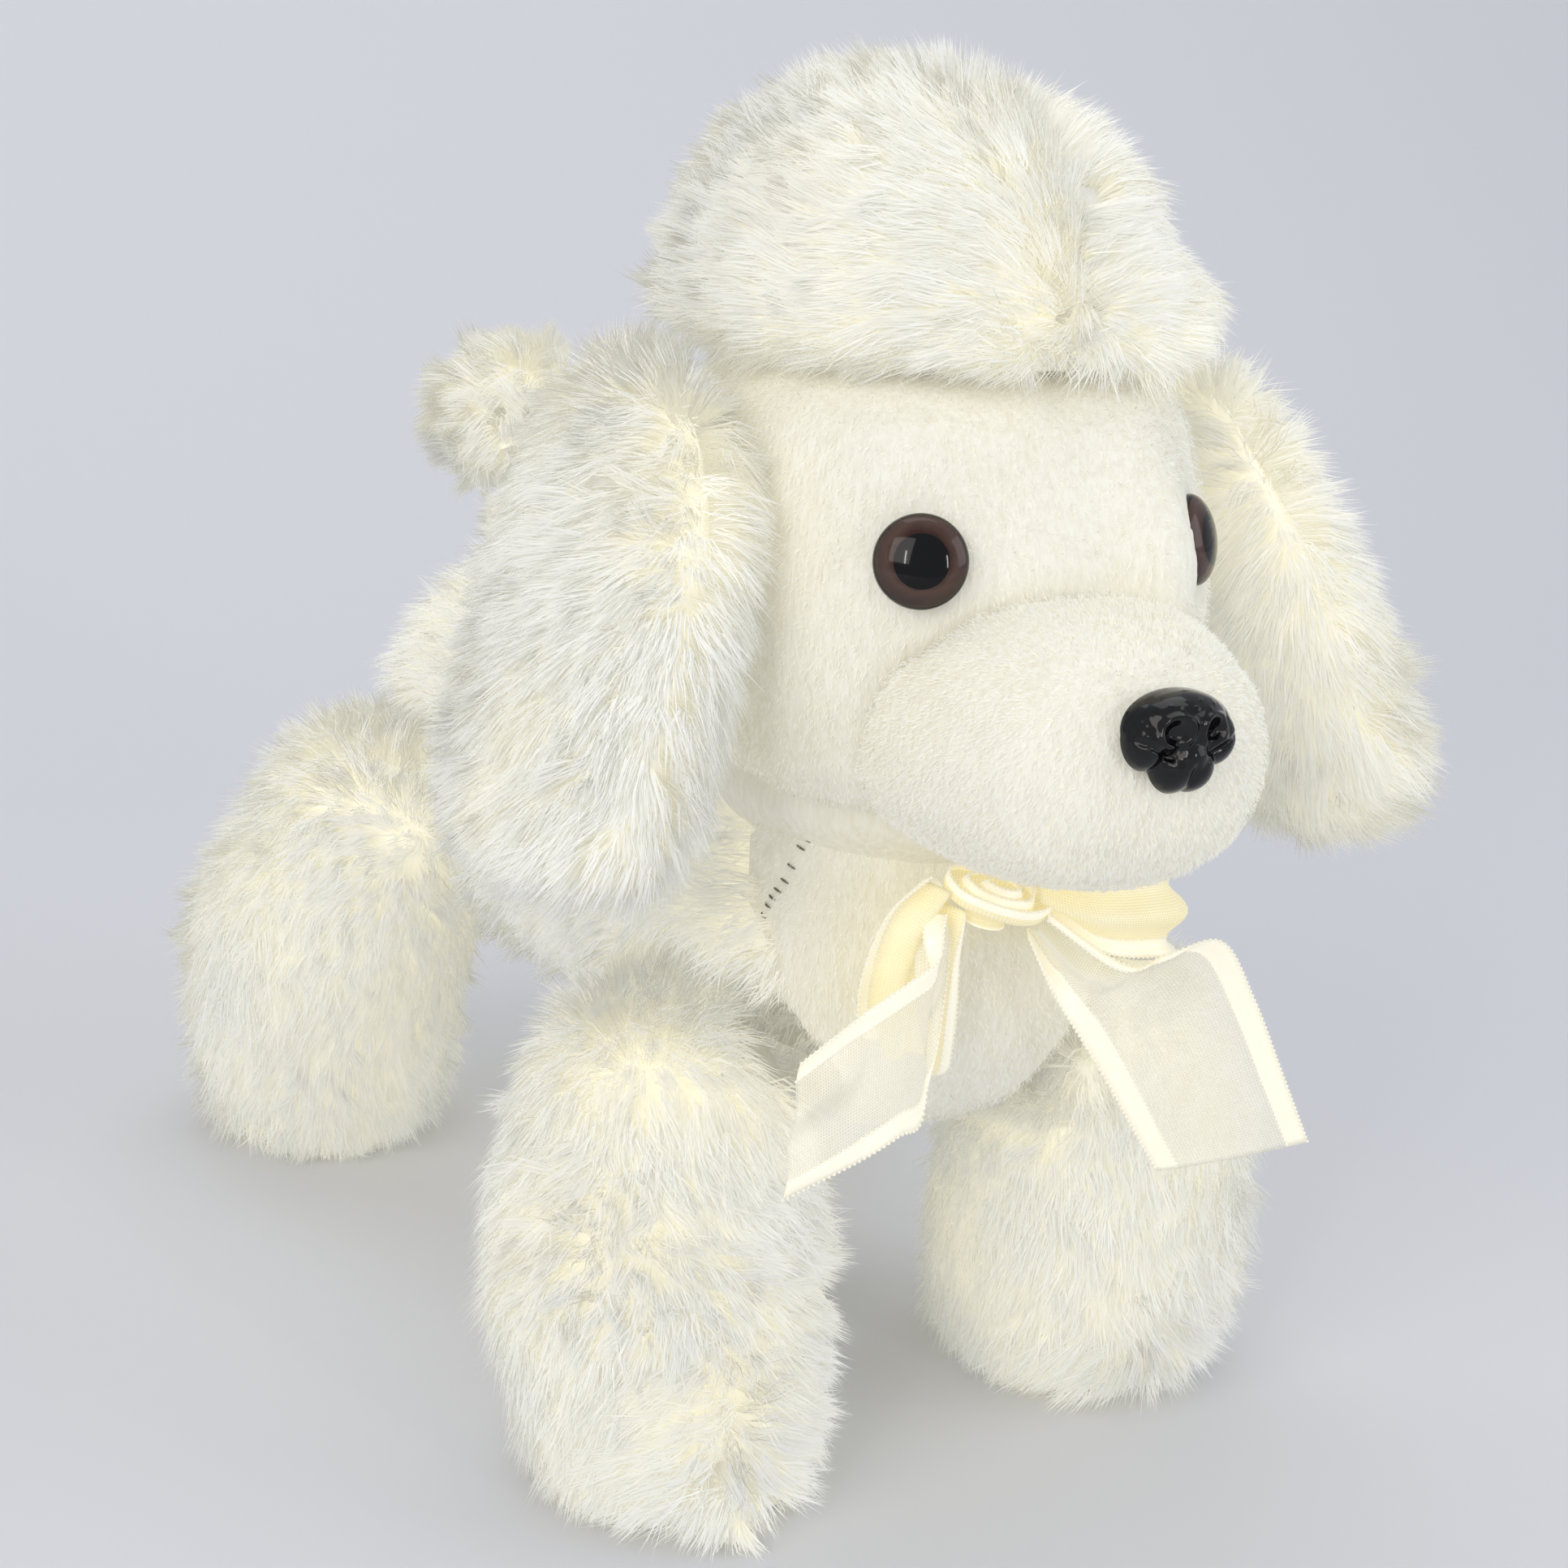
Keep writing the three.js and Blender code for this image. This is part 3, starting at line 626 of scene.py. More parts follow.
def makeVelour():  # cropped polyester velour: matt, with faint ribs where the nap parts along the knit, and a faint painted glow (emission)
    material, tree, surface = newMaterial("croppedVelour", {
        "Roughness": 0.9, "Specular IOR Level": 0.15, "Sheen Weight": 0.15, "Sheen Roughness": 0.5,
        "Emission Color": velourLook["glow"][0], "Emission Strength": velourLook["glow"][1]})
    place = addNode(tree, "ShaderNodeTexCoord").outputs["Object"]
    ribs = addNode(tree, "ShaderNodeMapping", {"Scale": (1, 1, velourLook["ribStretch"])}, {"Vector": place})
    nap = addNode(tree, "ShaderNodeTexNoise", {"Scale": 1 / (velourLook["loop"] * mm), "Detail": 3.0},
                  {"Vector": ribs.outputs[0]})
    wander = addNode(tree, "ShaderNodeTexNoise", {"Scale": 1 / (velourLook["wander"] * mm), "Detail": 2.0},
                     {"Vector": place})
    height = addNode(tree, "ShaderNodeMath", {"operation": "MULTIPLY_ADD", 1: velourLook["wanderShare"]},
                     {0: wander.outputs[0], 2: nap.outputs[0]})
    bump = addNode(tree, "ShaderNodeBump", {"Strength": 0.8, "Distance": velourLook["relief"] * mm},
                   {"Height": height.outputs[0]})
    tone = addNode(tree, "ShaderNodeValToRGB", {}, {"Fac": height.outputs[0]})
    tone.color_ramp.elements[0].position, tone.color_ramp.elements[1].position = 0.5, 1.05
    tone.color_ramp.elements[0].color = hexColour(velourLook["shade"])
    tone.color_ramp.elements[1].color = hexColour(velourLook["light"])
    tree.links.new(tone.outputs[0], surface.inputs["Base Color"])
    tree.links.new(bump.outputs[0], surface.inputs["Normal"])
    return material


velour = makeVelour()
napPile = {"length": 1.5, "lean": 62, "tuft": 1.2, "gather": 0.15, "stray": 0.35, "swirl": 0.4, "width": 0.16,
           "uneven": 0.3, "glint": 0.16, "shadeShift": 0, "pulls": [(0.9, (0, 0, -1))], "bursts": []}
shortPieces = {
    "face_cover": {"inside": ["head_stuffing"], "count": 42000, "seed": 61},
    "muzzle_cover": {"inside": ["muzzle_stuffing"], "count": 36000, "seed": 62, "pulls": [(1.3, (0, 0.9, -1))]},
    "chest_panel": {"inside": [], "count": 30000, "seed": 63},
}
velourForm = (0.5, 2, 10)  # inset and voxel in mm, smoothing rounds
seamByEye = ((19.5, -116, 184), (9, 13, 18), -5.4)  # the seam allowance stands up in front of the left eye
croppedRoundEye = 11  # mm from the left eye's middle that are kept free of nap
faceTop = 212  # mm, where the face goes in under the topknot


def makeShortPieces():
    made = {}
    for name, nap in shortPieces.items():
        piece = makeSkin(name + "_velour", [name] + nap["inside"], *velourForm)
        piece.data.materials.append(velour)
        shadeSmooth(piece)
        made[name] = piece
    face, muzzle = made["face_cover"], made["muzzle_cover"]
    pinch(face, *seamByEye)
    leftEye = np.array(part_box("eye_left")).mean(0)
    bare = lambda centres, normals: (centres[:, 2] < faceTop * mm) & (
        np.linalg.norm(centres - leftEye, axis=1) > croppedRoundEye * mm)
    keeps = {"face_cover": allOf(clearOf([muzzle], 0.5), bare), "muzzle_cover": None,
             "chest_panel": clearOf([skins["body_coat"]], 0.5)}
    for name, piece in made.items():
        nap = {**napPile, **shortPieces[name]}
        fibres = growPile(name + "_nap", piece, nap, keeps[name])
        for part in (piece, fibres):
            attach(part, bodyOfNode[name])
        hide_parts(name)
        print("stage: velour made for", name)
    return made


velourPieces = makeShortPieces()

neckCover = {"centre": (0, -60, 131), "radii": (36, 35, 17), "lumpSize": 9, "lumpHeight": 0.6}  # mm


def makeNeck():  # the sleeve that the head turns on, seen only between the head and the chest
    deselectAll()
    bpy.ops.mesh.primitive_uv_sphere_add(segments=48, ring_count=24, radius=1)
    neck = bpy.context.object
    neck.name = "neck_velour"
    setPoints(neck, pointsOf(neck) * np.array(neckCover["radii"]) * mm + np.array(neckCover["centre"]) * mm)
    points = pointsOf(neck)
    setPoints(neck, points + noiseVector(points, neckCover["lumpSize"] * mm, 7) * neckCover["lumpHeight"] * mm)
    neck.data.materials.append(velour)
    bpy.ops.object.shade_smooth()
    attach(neck, "neck")
    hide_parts("neck_stuffing")


makeNeck()


# moulded plastic: eyes and nose

def frameOf(node, backFrom):  # a fitting's own axes: X to its left, Y up, Z out along its stem; the dome's base at 0
    centreOf = lambda name: Vector(np.unique(pointsOf(frame["nodes"][name]).round(6), axis=0).mean(0))
    washer = centreOf(node + "_washer")
    out = (centreOf(node) - washer).normalized()
    up = (Vector((0, 0, 1)) - out * out.z).normalized()
    return Matrix.Translation(washer + out * backFrom * mm) @ Matrix((up.cross(out), up, out)).transposed().to_4x4()


eyeShape = {"radius": 8.0, "dome": 4.8, "rim": 0.9, "skirt": 0.25, "pupil": 4.65, "ring": 7.5,
            "ringCloud": 2.381, "washerBack": 8.2}  # mm, but the skirt is a share of the dome
eyeTurns = {"eye_right": (0, (0, 0, 0)), "eye_left": (17, (0.2, 3.7, 0.4))}  # degrees about the upright, and mm moved
noseShape = {  # ellipsoids in the nose's own axes, in mm: centre and radii
    "lobes": [((0, 1.9, -0.6), (10.1, 6.5, 7.6)), ((0, 3.0, 0), (8.6, 5.2, 7.9)),
              ((-6.3, 0.2, -0.4), (3.9, 4.9, 6.0)), ((6.3, 0.2, -0.4), (3.9, 4.9, 6.0)),
              ((-1.7, -4.0, -0.4), (4.0, 4.6, 6.2)), ((1.7, -4.0, -0.4), (4.0, 4.6, 6.2)),
              ((0, -2.6, 0), (4.6, 4.6, 6.8))],
    "voxel": 0.26, "nostril": (3.45, 1.1), "hole": 1.5, "holeDepth": 1.3, "ring": 2.5, "ringSoft": 0.55,
    "ringHeight": 0.8, "slotDepth": 0.5, "creaseDepth": 0.7, "cleftDepth": 0.7, "washerBack": 8.9,
    "shift": (-0.6, 0, 1.2),
}
noseBumps = {  # tiny bumps over the top and down both sides: rows are height, count and half width, in mm
    "height": 0.24, "size": 0.3, "rows": ((4.9, 5, 5.2), (6.2, 4, 4.0)), "rowBow": 0.05,
    "sides": ((7.6, 2.8), (8.0, 0.9), (7.9, -0.9)),
}


def makeEyeMaterials():
    # acrylic moulded black and lacquered: a hard gloss with the faint unevenness of a thin coat
    black, _, _ = newMaterial("lacqueredBlackAcrylic", {"IOR": 1.42, "Specular IOR Level": 0.35},
                              {"size": 5, "tones": ("#040405", "#08080a"), "rough": (0.05, 0.09), "relief": 0.002})
    # the same acrylic unlacquered, cut at the mould's parting line: a duller gloss
    edge, _, _ = newMaterial("bareAcrylicEdge", {"IOR": 1.42},
                             {"size": 3, "tones": ("#110b08", "#1a110d"), "rough": (0.12, 0.2), "relief": 0.01})
    # brown-tinted clear acrylic over a dark back: deep and glossy, darkest beside the pupil, with painted light making
    # the lower ring paler
    ring, tree, surface = newMaterial("smokedBrownAcrylic", {"Roughness": 0.1, "IOR": 1.42})
    place = addNode(tree, "ShaderNodeTexCoord").outputs["Object"]
    grain = addNode(tree, "ShaderNodeTexNoise", {"Scale": 1 / (eyeShape["ringCloud"] * mm), "Detail": 3.0},
                    {"Vector": place})
    depth = addNode(tree, "ShaderNodeAttribute", {"attribute_name": "ringToneAndPaintedLight"})
    cloudy = addNode(tree, "ShaderNodeMath", {"operation": "MULTIPLY_ADD", 1: 0.35},
                     {0: grain.outputs[0], 2: depth.outputs["Fac"]})
    tone = addNode(tree, "ShaderNodeValToRGB", {}, {"Fac": cloudy.outputs[0]})
    ramp = tone.color_ramp
    ramp.elements[0].position, ramp.elements[1].position = 0.1, 1.1
    ramp.elements[0].color, ramp.elements[1].color = hexColour("#30140b"), hexColour("#3c2e29")
    middle = ramp.elements.new(0.5)
    middle.color = hexColour("#503c34")
    tree.links.new(tone.outputs[0], surface.inputs["Base Color"])
    return [black, ring, edge]


def makeEye(node, materials):
    deselectAll()
    bpy.ops.mesh.primitive_uv_sphere_add(segments=72, ring_count=56, radius=1)
    eye = bpy.context.object
    eye.name = node + "_dome"
    bpy.ops.object.mode_set(mode="EDIT")
    bpy.ops.mesh.bisect(plane_co=(0, 0, 0), plane_no=(0, 0, 1), use_fill=False, clear_inner=True)
    mesh = bmesh.from_edit_mesh(eye.data)
    for edge in mesh.edges:
        edge.select = edge.is_boundary
    bmesh.update_edit_mesh(eye.data)
    bpy.ops.mesh.extrude_region_move(TRANSFORM_OT_translate={"value": (0, 0, -eyeShape["skirt"])})
    bpy.ops.mesh.edge_face_add()
    bpy.ops.mesh.select_all(action="SELECT")
    bpy.ops.mesh.normals_make_consistent(inside=False)
    bpy.ops.object.mode_set(mode="OBJECT")
    radius, rim = eyeShape["radius"] * mm, eyeShape["rim"] * mm
    points = pointsOf(eye) * np.array([radius, radius, eyeShape["dome"] * mm - rim])
    points[:, 2] += rim
    setPoints(eye, points)
    reach = np.hypot(points[:, 0], points[:, 1]) / mm
    acrossRing = np.clip((reach - eyeShape["pupil"]) / (eyeShape["ring"] - eyeShape["pupil"]), 0, 1)
    depth = eye.data.attributes.new("ringToneAndPaintedLight", "FLOAT", "POINT")  # paler outwards, the ring's own tint, and paler downwards, painted light on the lower ring
    depth.data.foreach_set("value", (acrossRing * 0.75 - points[:, 1] / radius * 0.25).astype(np.float32))
    for material in materials:
        eye.data.materials.append(material)
    for face in eye.data.polygons:
        away = math.hypot(face.center.x, face.center.y) / mm
        face.material_index = 0 if away < eyeShape["pupil"] else 1 if away < eyeShape["ring"] else 2
        if face.normal.z < -0.5:
            face.material_index = 2
        face.use_smooth = True
    turn, shift = eyeTurns[node]
    place = frameOf(node, eyeShape["washerBack"])
    seat = Matrix.Translation(place.translation + Vector(shift) * mm)
    eye.data.transform(seat @ Matrix.Rotation(math.radians(turn), 4, "Z") @ place.to_3x3().to_4x4())
    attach(eye, "head")
    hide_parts(node)


def noseRelief(x, y):  # how far the front stands out or in, in mm
    lift = np.zeros(len(x))
    nostrilX, nostrilY = noseShape["nostril"]
    for side in (-1, 1):
        away = np.hypot(x - nostrilX * side, y - nostrilY)
        slot = np.exp(-(((x - (nostrilX - 0.6) * side) / 0.8) ** 2 + (y - nostrilY + 2.6) ** 2))
        ring = np.exp(-((away - noseShape["ring"]) / noseShape["ringSoft"]) ** 2) * (1 - slot)  # it is open below
        hole = np.exp(-(away / noseShape["hole"]) ** 4)
        lift += noseShape["ringHeight"] * ring
        lift -= noseShape["holeDepth"] * hole + noseShape["slotDepth"] * slot
        wing = (y + 2.6) - 0.55 * (np.abs(x) - 4.2)  # the crease between wing and lower lobe
        lift -= noseShape["creaseDepth"] * np.exp(-(wing / 0.6) ** 2) * (x * side > 3.4)
    lift -= noseShape["cleftDepth"] * np.exp(-(x / 0.55) ** 2) * blendIn(-y, 3.2, 5.4)  # between the lower lobes
    return lift


def bumpPlaces():
    for height, count, reach in noseBumps["rows"]:
        for bumpX in np.linspace(-reach, reach, count):
            yield bumpX, height - noseBumps["rowBow"] * bumpX ** 2
    for bumpX, bumpY in noseBumps["sides"]:
        yield -bumpX, bumpY
        yield bumpX, bumpY


def makeNose():
    parts = []
    for centre, radii in noseShape["lobes"]:
        deselectAll()
        bpy.ops.mesh.primitive_uv_sphere_add(segments=48, ring_count=32, radius=1)
        lobe = bpy.context.object
        lobe.scale = Vector(radii) * mm
        lobe.location = Vector(centre) * mm
        bpy.ops.object.transform_apply(location=True, rotation=True, scale=True)
        parts.append(lobe)
    nose = joinAll(parts, "nose_moulding")
    applyModifier(nose, "REMESH", mode="VOXEL", voxel_size=noseShape["voxel"] * mm, use_smooth_shade=True)
    applyModifier(nose, "SMOOTH", factor=0.5, iterations=3)
    pick(nose)
    bpy.ops.object.mode_set(mode="EDIT")
    bpy.ops.mesh.select_all(action="SELECT")
    bpy.ops.mesh.bisect(plane_co=(0, 0, 0), plane_no=(0, 0, 1), use_fill=True, clear_inner=True)
    bpy.ops.object.mode_set(mode="OBJECT")
    points = pointsOf(nose) / mm
    x, y, z = points.T
    lift = noseRelief(x, y)
    for bumpX, bumpY in bumpPlaces():
        lift += noseBumps["height"] * np.exp(-((x - bumpX) ** 2 + (y - bumpY) ** 2) / noseBumps["size"] ** 2)
    points[:, 2] += lift * blendIn(z, 2.5, 4.5)  # only on the front
    setPoints(nose, points * mm)
    plastic, _, _ = newMaterial(  # ABS from a polished mould: glossy, with soft flow waves
        "polishedBlackAbs", {"IOR": 1.45, "Specular IOR Level": 0.45},
        {"size": 6, "tones": ("#050506", "#0a0a0c"), "rough": (0.08, 0.14), "relief": 0.004})
    nose.data.materials.append(plastic)
    shadeSmooth(nose)
    nose.data.transform(Matrix.Translation(Vector(noseShape["shift"]) * mm) @ frameOf(
        "nose", noseShape["washerBack"]))
    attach(nose, "head")
    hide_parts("nose")


eyeMaterials = makeEyeMaterials()
for node in ("eye_right", "eye_left"):
    makeEye(node, eyeMaterials)
makeNose()
print("stage: eyes and nose made")

# hand stitches that close the coat against the chest panel, on the dog's right

stitches = {"count": 15, "from": (-35.5, -82.5, 127), "via": (-36.5, -73, 109), "to": (-36, -62, 89), "length": 2.1,
            "radius": 0.22, "slope": 0.35, "proud": 0.45, "dive": 0.35}  # mm


def makeStitches():
    chest = treeOf(velourPieces["chest_panel"])
    start, via, end = (np.array(stitches[k]) for k in ("from", "via", "to"))
    parts = []
    for k in range(stitches["count"]):
        t = k / (stitches["count"] - 1)
        place = Vector((1 - t) ** 2 * start + 2 * t * (1 - t) * (2 * via - (start + end) / 2) + t * t * end) * mm
        hit, normal, _, _ = chest.find_nearest(place)
        across = Vector((0.45, -0.85, -stitches["slope"]))
        across = (across - normal * across.dot(normal)).normalized()
        deselectAll()
        bpy.ops.mesh.primitive_uv_sphere_add(segments=10, ring_count=8, radius=1)
        thread = bpy.context.object
        shape = np.array([stitches["length"] / 2, stitches["radius"], stitches["radius"]]) * mm
        points = pointsOf(thread) * shape
        points[:, 2] -= stitches["dive"] * mm * (points[:, 0] / shape[0]) ** 2  # its ends dive into the cloth
        setPoints(thread, points)
        turned = Matrix((across, normal.cross(across), normal)).transposed().to_4x4()
        thread.data.transform(Matrix.Translation(hit + normal * stitches["proud"] * mm) @ turned)
        parts.append(thread)
    seam = joinAll(parts, "closing_stitches")
    thread, _, _ = newMaterial(  # spun polyester: matt, with the ply's light and dark
        "spunPolyesterThread", {}, {"size": 0.4, "tones": ("#5c574b", "#827c6c"), "rough": (0.7, 0.9), "relief": 0.1})
    seam.data.materials.append(thread)
    shadeSmooth(seam)
    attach(seam, "trunk")


makeStitches()
print("stage: closing stitches made")

# bow: one organza ribbon with a satin band along each edge

ribbon = {  # mm; threads really lie 0.2 mm apart, drawn coarser so that they show
    "width": 27, "band": 3.8, "thickness": 0.18, "beadPitch": 1.05, "beadSize": 0.34, "thread": 0.55,
    "moire": 7.692, "satinFloat": 3.125, "satinThread": 0.3125, "pleatTaken": 0.92,
}
bowStrips = {  # rows from the knot outwards: the two edges' places, and the belly of the cloth between them, in mm
    "bow_tail_left": {"body": "bow_tail_left", "length": 70, "rows": [
        ((4.0, -103.5, 110.6), (7.0, -104.5, 115.2), 2.0), ((7.2, -104.5, 103.6), (20.9, -109.5, 105.6), 2.6),
        ((10.1, -104.5, 98.5), (28.1, -112.0, 107.6), 1.8), ((15.0, -105.0, 91.3), (38.0, -114.0, 109.6), 0.8),
        ((21.0, -105.5, 82.3), (45.6, -114.5, 98.2), 0.3), ((27.3, -106.0, 72.1), (53.4, -114.5, 82.6), -0.4),
        ((33.0, -106.5, 63.1), (61.2, -113.5, 67.8), -0.8)]},
    "bow_tail_right": {"body": "bow_tail_right", "length": 56, "rows": [
        ((-13.0, -103.5, 116.5), (-14.5, -103.0, 111.5), 1.5), ((-15.2, -107.0, 115.2), (-15.8, -105.5, 102.0), 1.5),
        ((-16.9, -109.0, 110.6), (-17.5, -107.5, 81.0), 1.0), ((-23.0, -110.2, 107.4), (-23.6, -110.4, 79.0), 1.0),
        ((-30.5, -109.0, 102.4), (-32.0, -111.2, 75.6), 0.8), ((-41.6, -106.5, 93.3), (-46.6, -112.0, 70.9), 0.2)]},
    "bow_loop_left": {"body": "trunk", "length": 68, "rows": [
        ((5.0, -100.5, 123.5), (8.8, -101.0, 113.9), 0.5), ((15.1, -104.5, 125.3), (18.5, -106.0, 107.0), 0.8),
        ((30.0, -104.0, 125.6), (32.4, -105.0, 104.6), 0.6), ((36.6, -100.0, 125.0), (37.0, -100.0, 104.0), 0.0),
        ((34.5, -96.5, 124.6), (35.6, -96.5, 104.6), -0.4), ((22.7, -95.5, 124.4), (23.5, -96.5, 107.0), -0.6),
        ((6.2, -97.0, 123.1), (9.3, -97.5, 113.6), -0.6)]},
    "bow_loop_right": {"body": "trunk", "length": 70, "rows": [
        ((-14.7, -101.0, 123.0), (-8.9, -101.0, 115.2), 0.8), ((-25.0, -104.0, 117.4), (-9.1, -102.0, 106.1), 0.8),
        ((-28.6, -102.5, 105.2), (-8.4, -101.0, 96.3), 0.6), ((-26.4, -98.8, 92.8), (-8.0, -98.5, 85.4), 0.2),
        ((-24.2, -96.0, 102.5), (-8.2, -97.0, 94.6), -0.4), ((-20.2, -95.5, 113.2), (-8.7, -96.5, 104.5), -0.6),
        ((-12.4, -97.0, 121.8), (-8.5, -97.0, 114.8), -0.4)]},
}
rose = {"centre": (-3.6, -99.2, 113.2), "axis": (0.24, -0.3, 0.92), "turns": 2.6, "inner": 2.6, "outer": 8.2,
        "flat": 0.66, "flare": 3.6, "height": 8.6, "ruffle": 0.8, "ruffles": 3.3, "foot": 0.6, "outerDrop": 0.2,
        "belly": 1.1, "bands": (0.2, 1.4)}


def throughRows(rows, steps):  # a smooth run through every row
    rows = np.array(rows, float)
    out = []
    for s in np.linspace(0, len(rows) - 1, steps):
        i = min(int(s), len(rows) - 2)
        t = s - i
        b, c = rows[i], rows[i + 1]
        a = rows[i - 1] if i else 2 * b - c
        d = rows[i + 2] if i + 2 < len(rows) else 2 * c - b
        m, n = (c - a) / 2, (d - b) / 2
        out.append((2 * t**3 - 3 * t**2 + 1) * b + (t**3 - 2 * t**2 + t) * m
                   + (3 * t**2 - 2 * t**3) * c + (t**3 - t**2) * n)
    return np.array(out)


organzaTints = {  # one layer, and the cloth folded on itself: shade, light, cover between and on threads, painted glow (emission)
    "sheerOrganza": ("#f3eed8", "#faf8ec", 0.28, 0.58, 0.12),
    "foldedOrganza": ("#f6ecbe", "#fcf6da", 0.58, 0.88, 0.16),
}


def makeOrganza(name, shade, light, gaps, threadCover, glow):  # twisted filament in plain weave: crisp and see-through, with a painted glow (emission)
    organza, tree, surface = newMaterial(name, {
        "Roughness": 0.4, "Specular IOR Level": 0.5, "Emission Color": light, "Emission Strength": glow})
    grid = addNode(tree, "ShaderNodeUVMap")
    scale = 1 / (ribbon["thread"] * mm)
    size = addNode(tree, "ShaderNodeMapping", {"Scale": (scale, scale, 1)}, {"Vector": grid.outputs[0]})
    split = addNode(tree, "ShaderNodeSeparateXYZ", {}, {0: size.outputs[0]})
    threads = []
    for axis in (0, 1):
        wave = addNode(tree, "ShaderNodeMath", {"operation": "PINGPONG", 1: 0.5}, {0: split.outputs[axis]})
        threads.append(addNode(tree, "ShaderNodeMath", {"operation": "MULTIPLY", 1: 2.0}, {0: wave.outputs[0]}))
    weave = addNode(tree, "ShaderNodeMath", {"operation": "MAXIMUM"}, {0: threads[0].outputs[0],
                                                                      1: threads[1].outputs[0]})
    moire = addNode(tree, "ShaderNodeTexNoise", {"Scale": 1 / (ribbon["moire"] * mm), "Detail": 1.0},
                    {"Vector": grid.outputs[0]})
    cover = addNode(tree, "ShaderNodeMath", {"operation": "MULTIPLY_ADD", 1: threadCover - gaps, 2: gaps},
                    {0: weave.outputs[0]})
    tree.links.new(cover.outputs[0], surface.inputs["Alpha"])
    tone = addNode(tree, "ShaderNodeValToRGB", {}, {"Fac": moire.outputs[0]})
    tone.color_ramp.elements[0].color = hexColour(shade)
    tone.color_ramp.elements[1].color = hexColour(light)
    tree.links.new(tone.outputs[0], surface.inputs["Base Color"])
    bump = addNode(tree, "ShaderNodeBump", {"Strength": 0.4, "Distance": 0.08 * mm}, {"Height": weave.outputs[0]})
    tree.links.new(bump.outputs[0], surface.inputs["Normal"])
    return organza


def makeSatin():  # long warp floats of bright filament: a streak of gloss along the band, and a painted glow (emission)
    satin, tree, surface = newMaterial("warpSatin", {
        "Roughness": 0.28, "Specular IOR Level": 0.8, "Anisotropic": 0.6, "Emission Color": "#fffae6",
        "Emission Strength": 0.2})
    grid = addNode(tree, "ShaderNodeUVMap")
    floats = addNode(tree, "ShaderNodeMapping", {
        "Scale": (1 / (ribbon["satinThread"] * mm), 1 / (ribbon["satinFloat"] * mm), 1)}, {"Vector": grid.outputs[0]})
    grain = addNode(tree, "ShaderNodeTexNoise", {"Scale": 1.0, "Detail": 2.0}, {"Vector": floats.outputs[0]})
    tone = addNode(tree, "ShaderNodeValToRGB", {}, {"Fac": grain.outputs[0]})
    tone.color_ramp.elements[0].color = hexColour("#f6efd0")
    tone.color_ramp.elements[1].color = hexColour("#fffcf0")
    tree.links.new(tone.outputs[0], surface.inputs["Base Color"])
    bump = addNode(tree, "ShaderNodeBump", {"Strength": 0.35, "Distance": 0.06 * mm}, {"Height": grain.outputs[0]})
    tree.links.new(bump.outputs[0], surface.inputs["Normal"])
    return satin


organza, foldedOrganza = (makeOrganza(name, *tint) for name, tint in organzaTints.items())
satin = makeSatin()
picot, _, _ = newMaterial(  # the edge loops' filament polyester: bright, with a painted glow (emission), each loop catching the light
    "picotThread", {"Specular IOR Level": 0.7, "Emission Color": "#fdf9ec", "Emission Strength": 0.1},
    {"size": 0.5, "tones": ("#f3edd6", "#fefbf0"), "rough": (0.25, 0.45), "relief": 0.05})


# a ribbon through rows of its two edges; bandLow and bandHigh are its satin bands' widths
def makeStrip(name, edges, width, bandLow, bandHigh, cloth, steps=64, pleats=2):
    rows = throughRows([[*a, *b, belly] for a, b, belly in edges], steps)
    first, last, belly = rows[:, :3], rows[:, 3:6], rows[:, 6:7]
    run = unit(np.gradient((first + last) / 2, axis=0))
    face = unit(np.cross(last - first, run))
    low, high = bandLow / width, 1 - bandHigh / width
    share = np.unique(np.concatenate([np.linspace(0, low, 4), np.linspace(low, high, 21),
                                      np.linspace(high, 1, 4)]).round(5))
    spread = np.linalg.norm(last - first, axis=1, keepdims=True)
    pleat = np.sqrt(np.maximum(width**2 - spread**2, 0)) / (4 * pleats)  # the cloth's spare width, gathered
    pleat *= ribbon["pleatTaken"]
    grid = [first + (last - first) * s + face * (belly * 4 * s * (1 - s) + pleat * math.sin(
        2 * math.pi * pleats * s)) for s in share]
    verts = np.stack(grid, 1)
    count = len(share)
    faces = [(i * count + j, i * count + j + 1, (i + 1) * count + j + 1, (i + 1) * count + j)
             for i in range(steps - 1) for j in range(count - 1)]
    mesh = bpy.data.meshes.new(name)
    mesh.from_pydata((verts.reshape(-1, 3) * mm).tolist(), [], faces)
    along = np.concatenate([[0], np.cumsum(np.linalg.norm(np.diff((first + last) / 2, axis=0), axis=1))])
    uv = mesh.uv_layers.new(name="cloth")
    for loop in mesh.loops:
        i, j = divmod(loop.vertex_index, count)
        uv.data[loop.index].uv = (share[j] * width * mm, along[i] * mm)
    mesh.materials.append(cloth)
    mesh.materials.append(satin)
    for face in mesh.polygons:
        j = min(v % count for v in face.vertices)
        middle = (share[j] + share[j + 1]) / 2 * width
        face.material_index = 1 if middle < bandLow or middle > width - bandHigh else 0
        face.use_smooth = True
    return addObject(name, mesh), verts, share, along[-1]


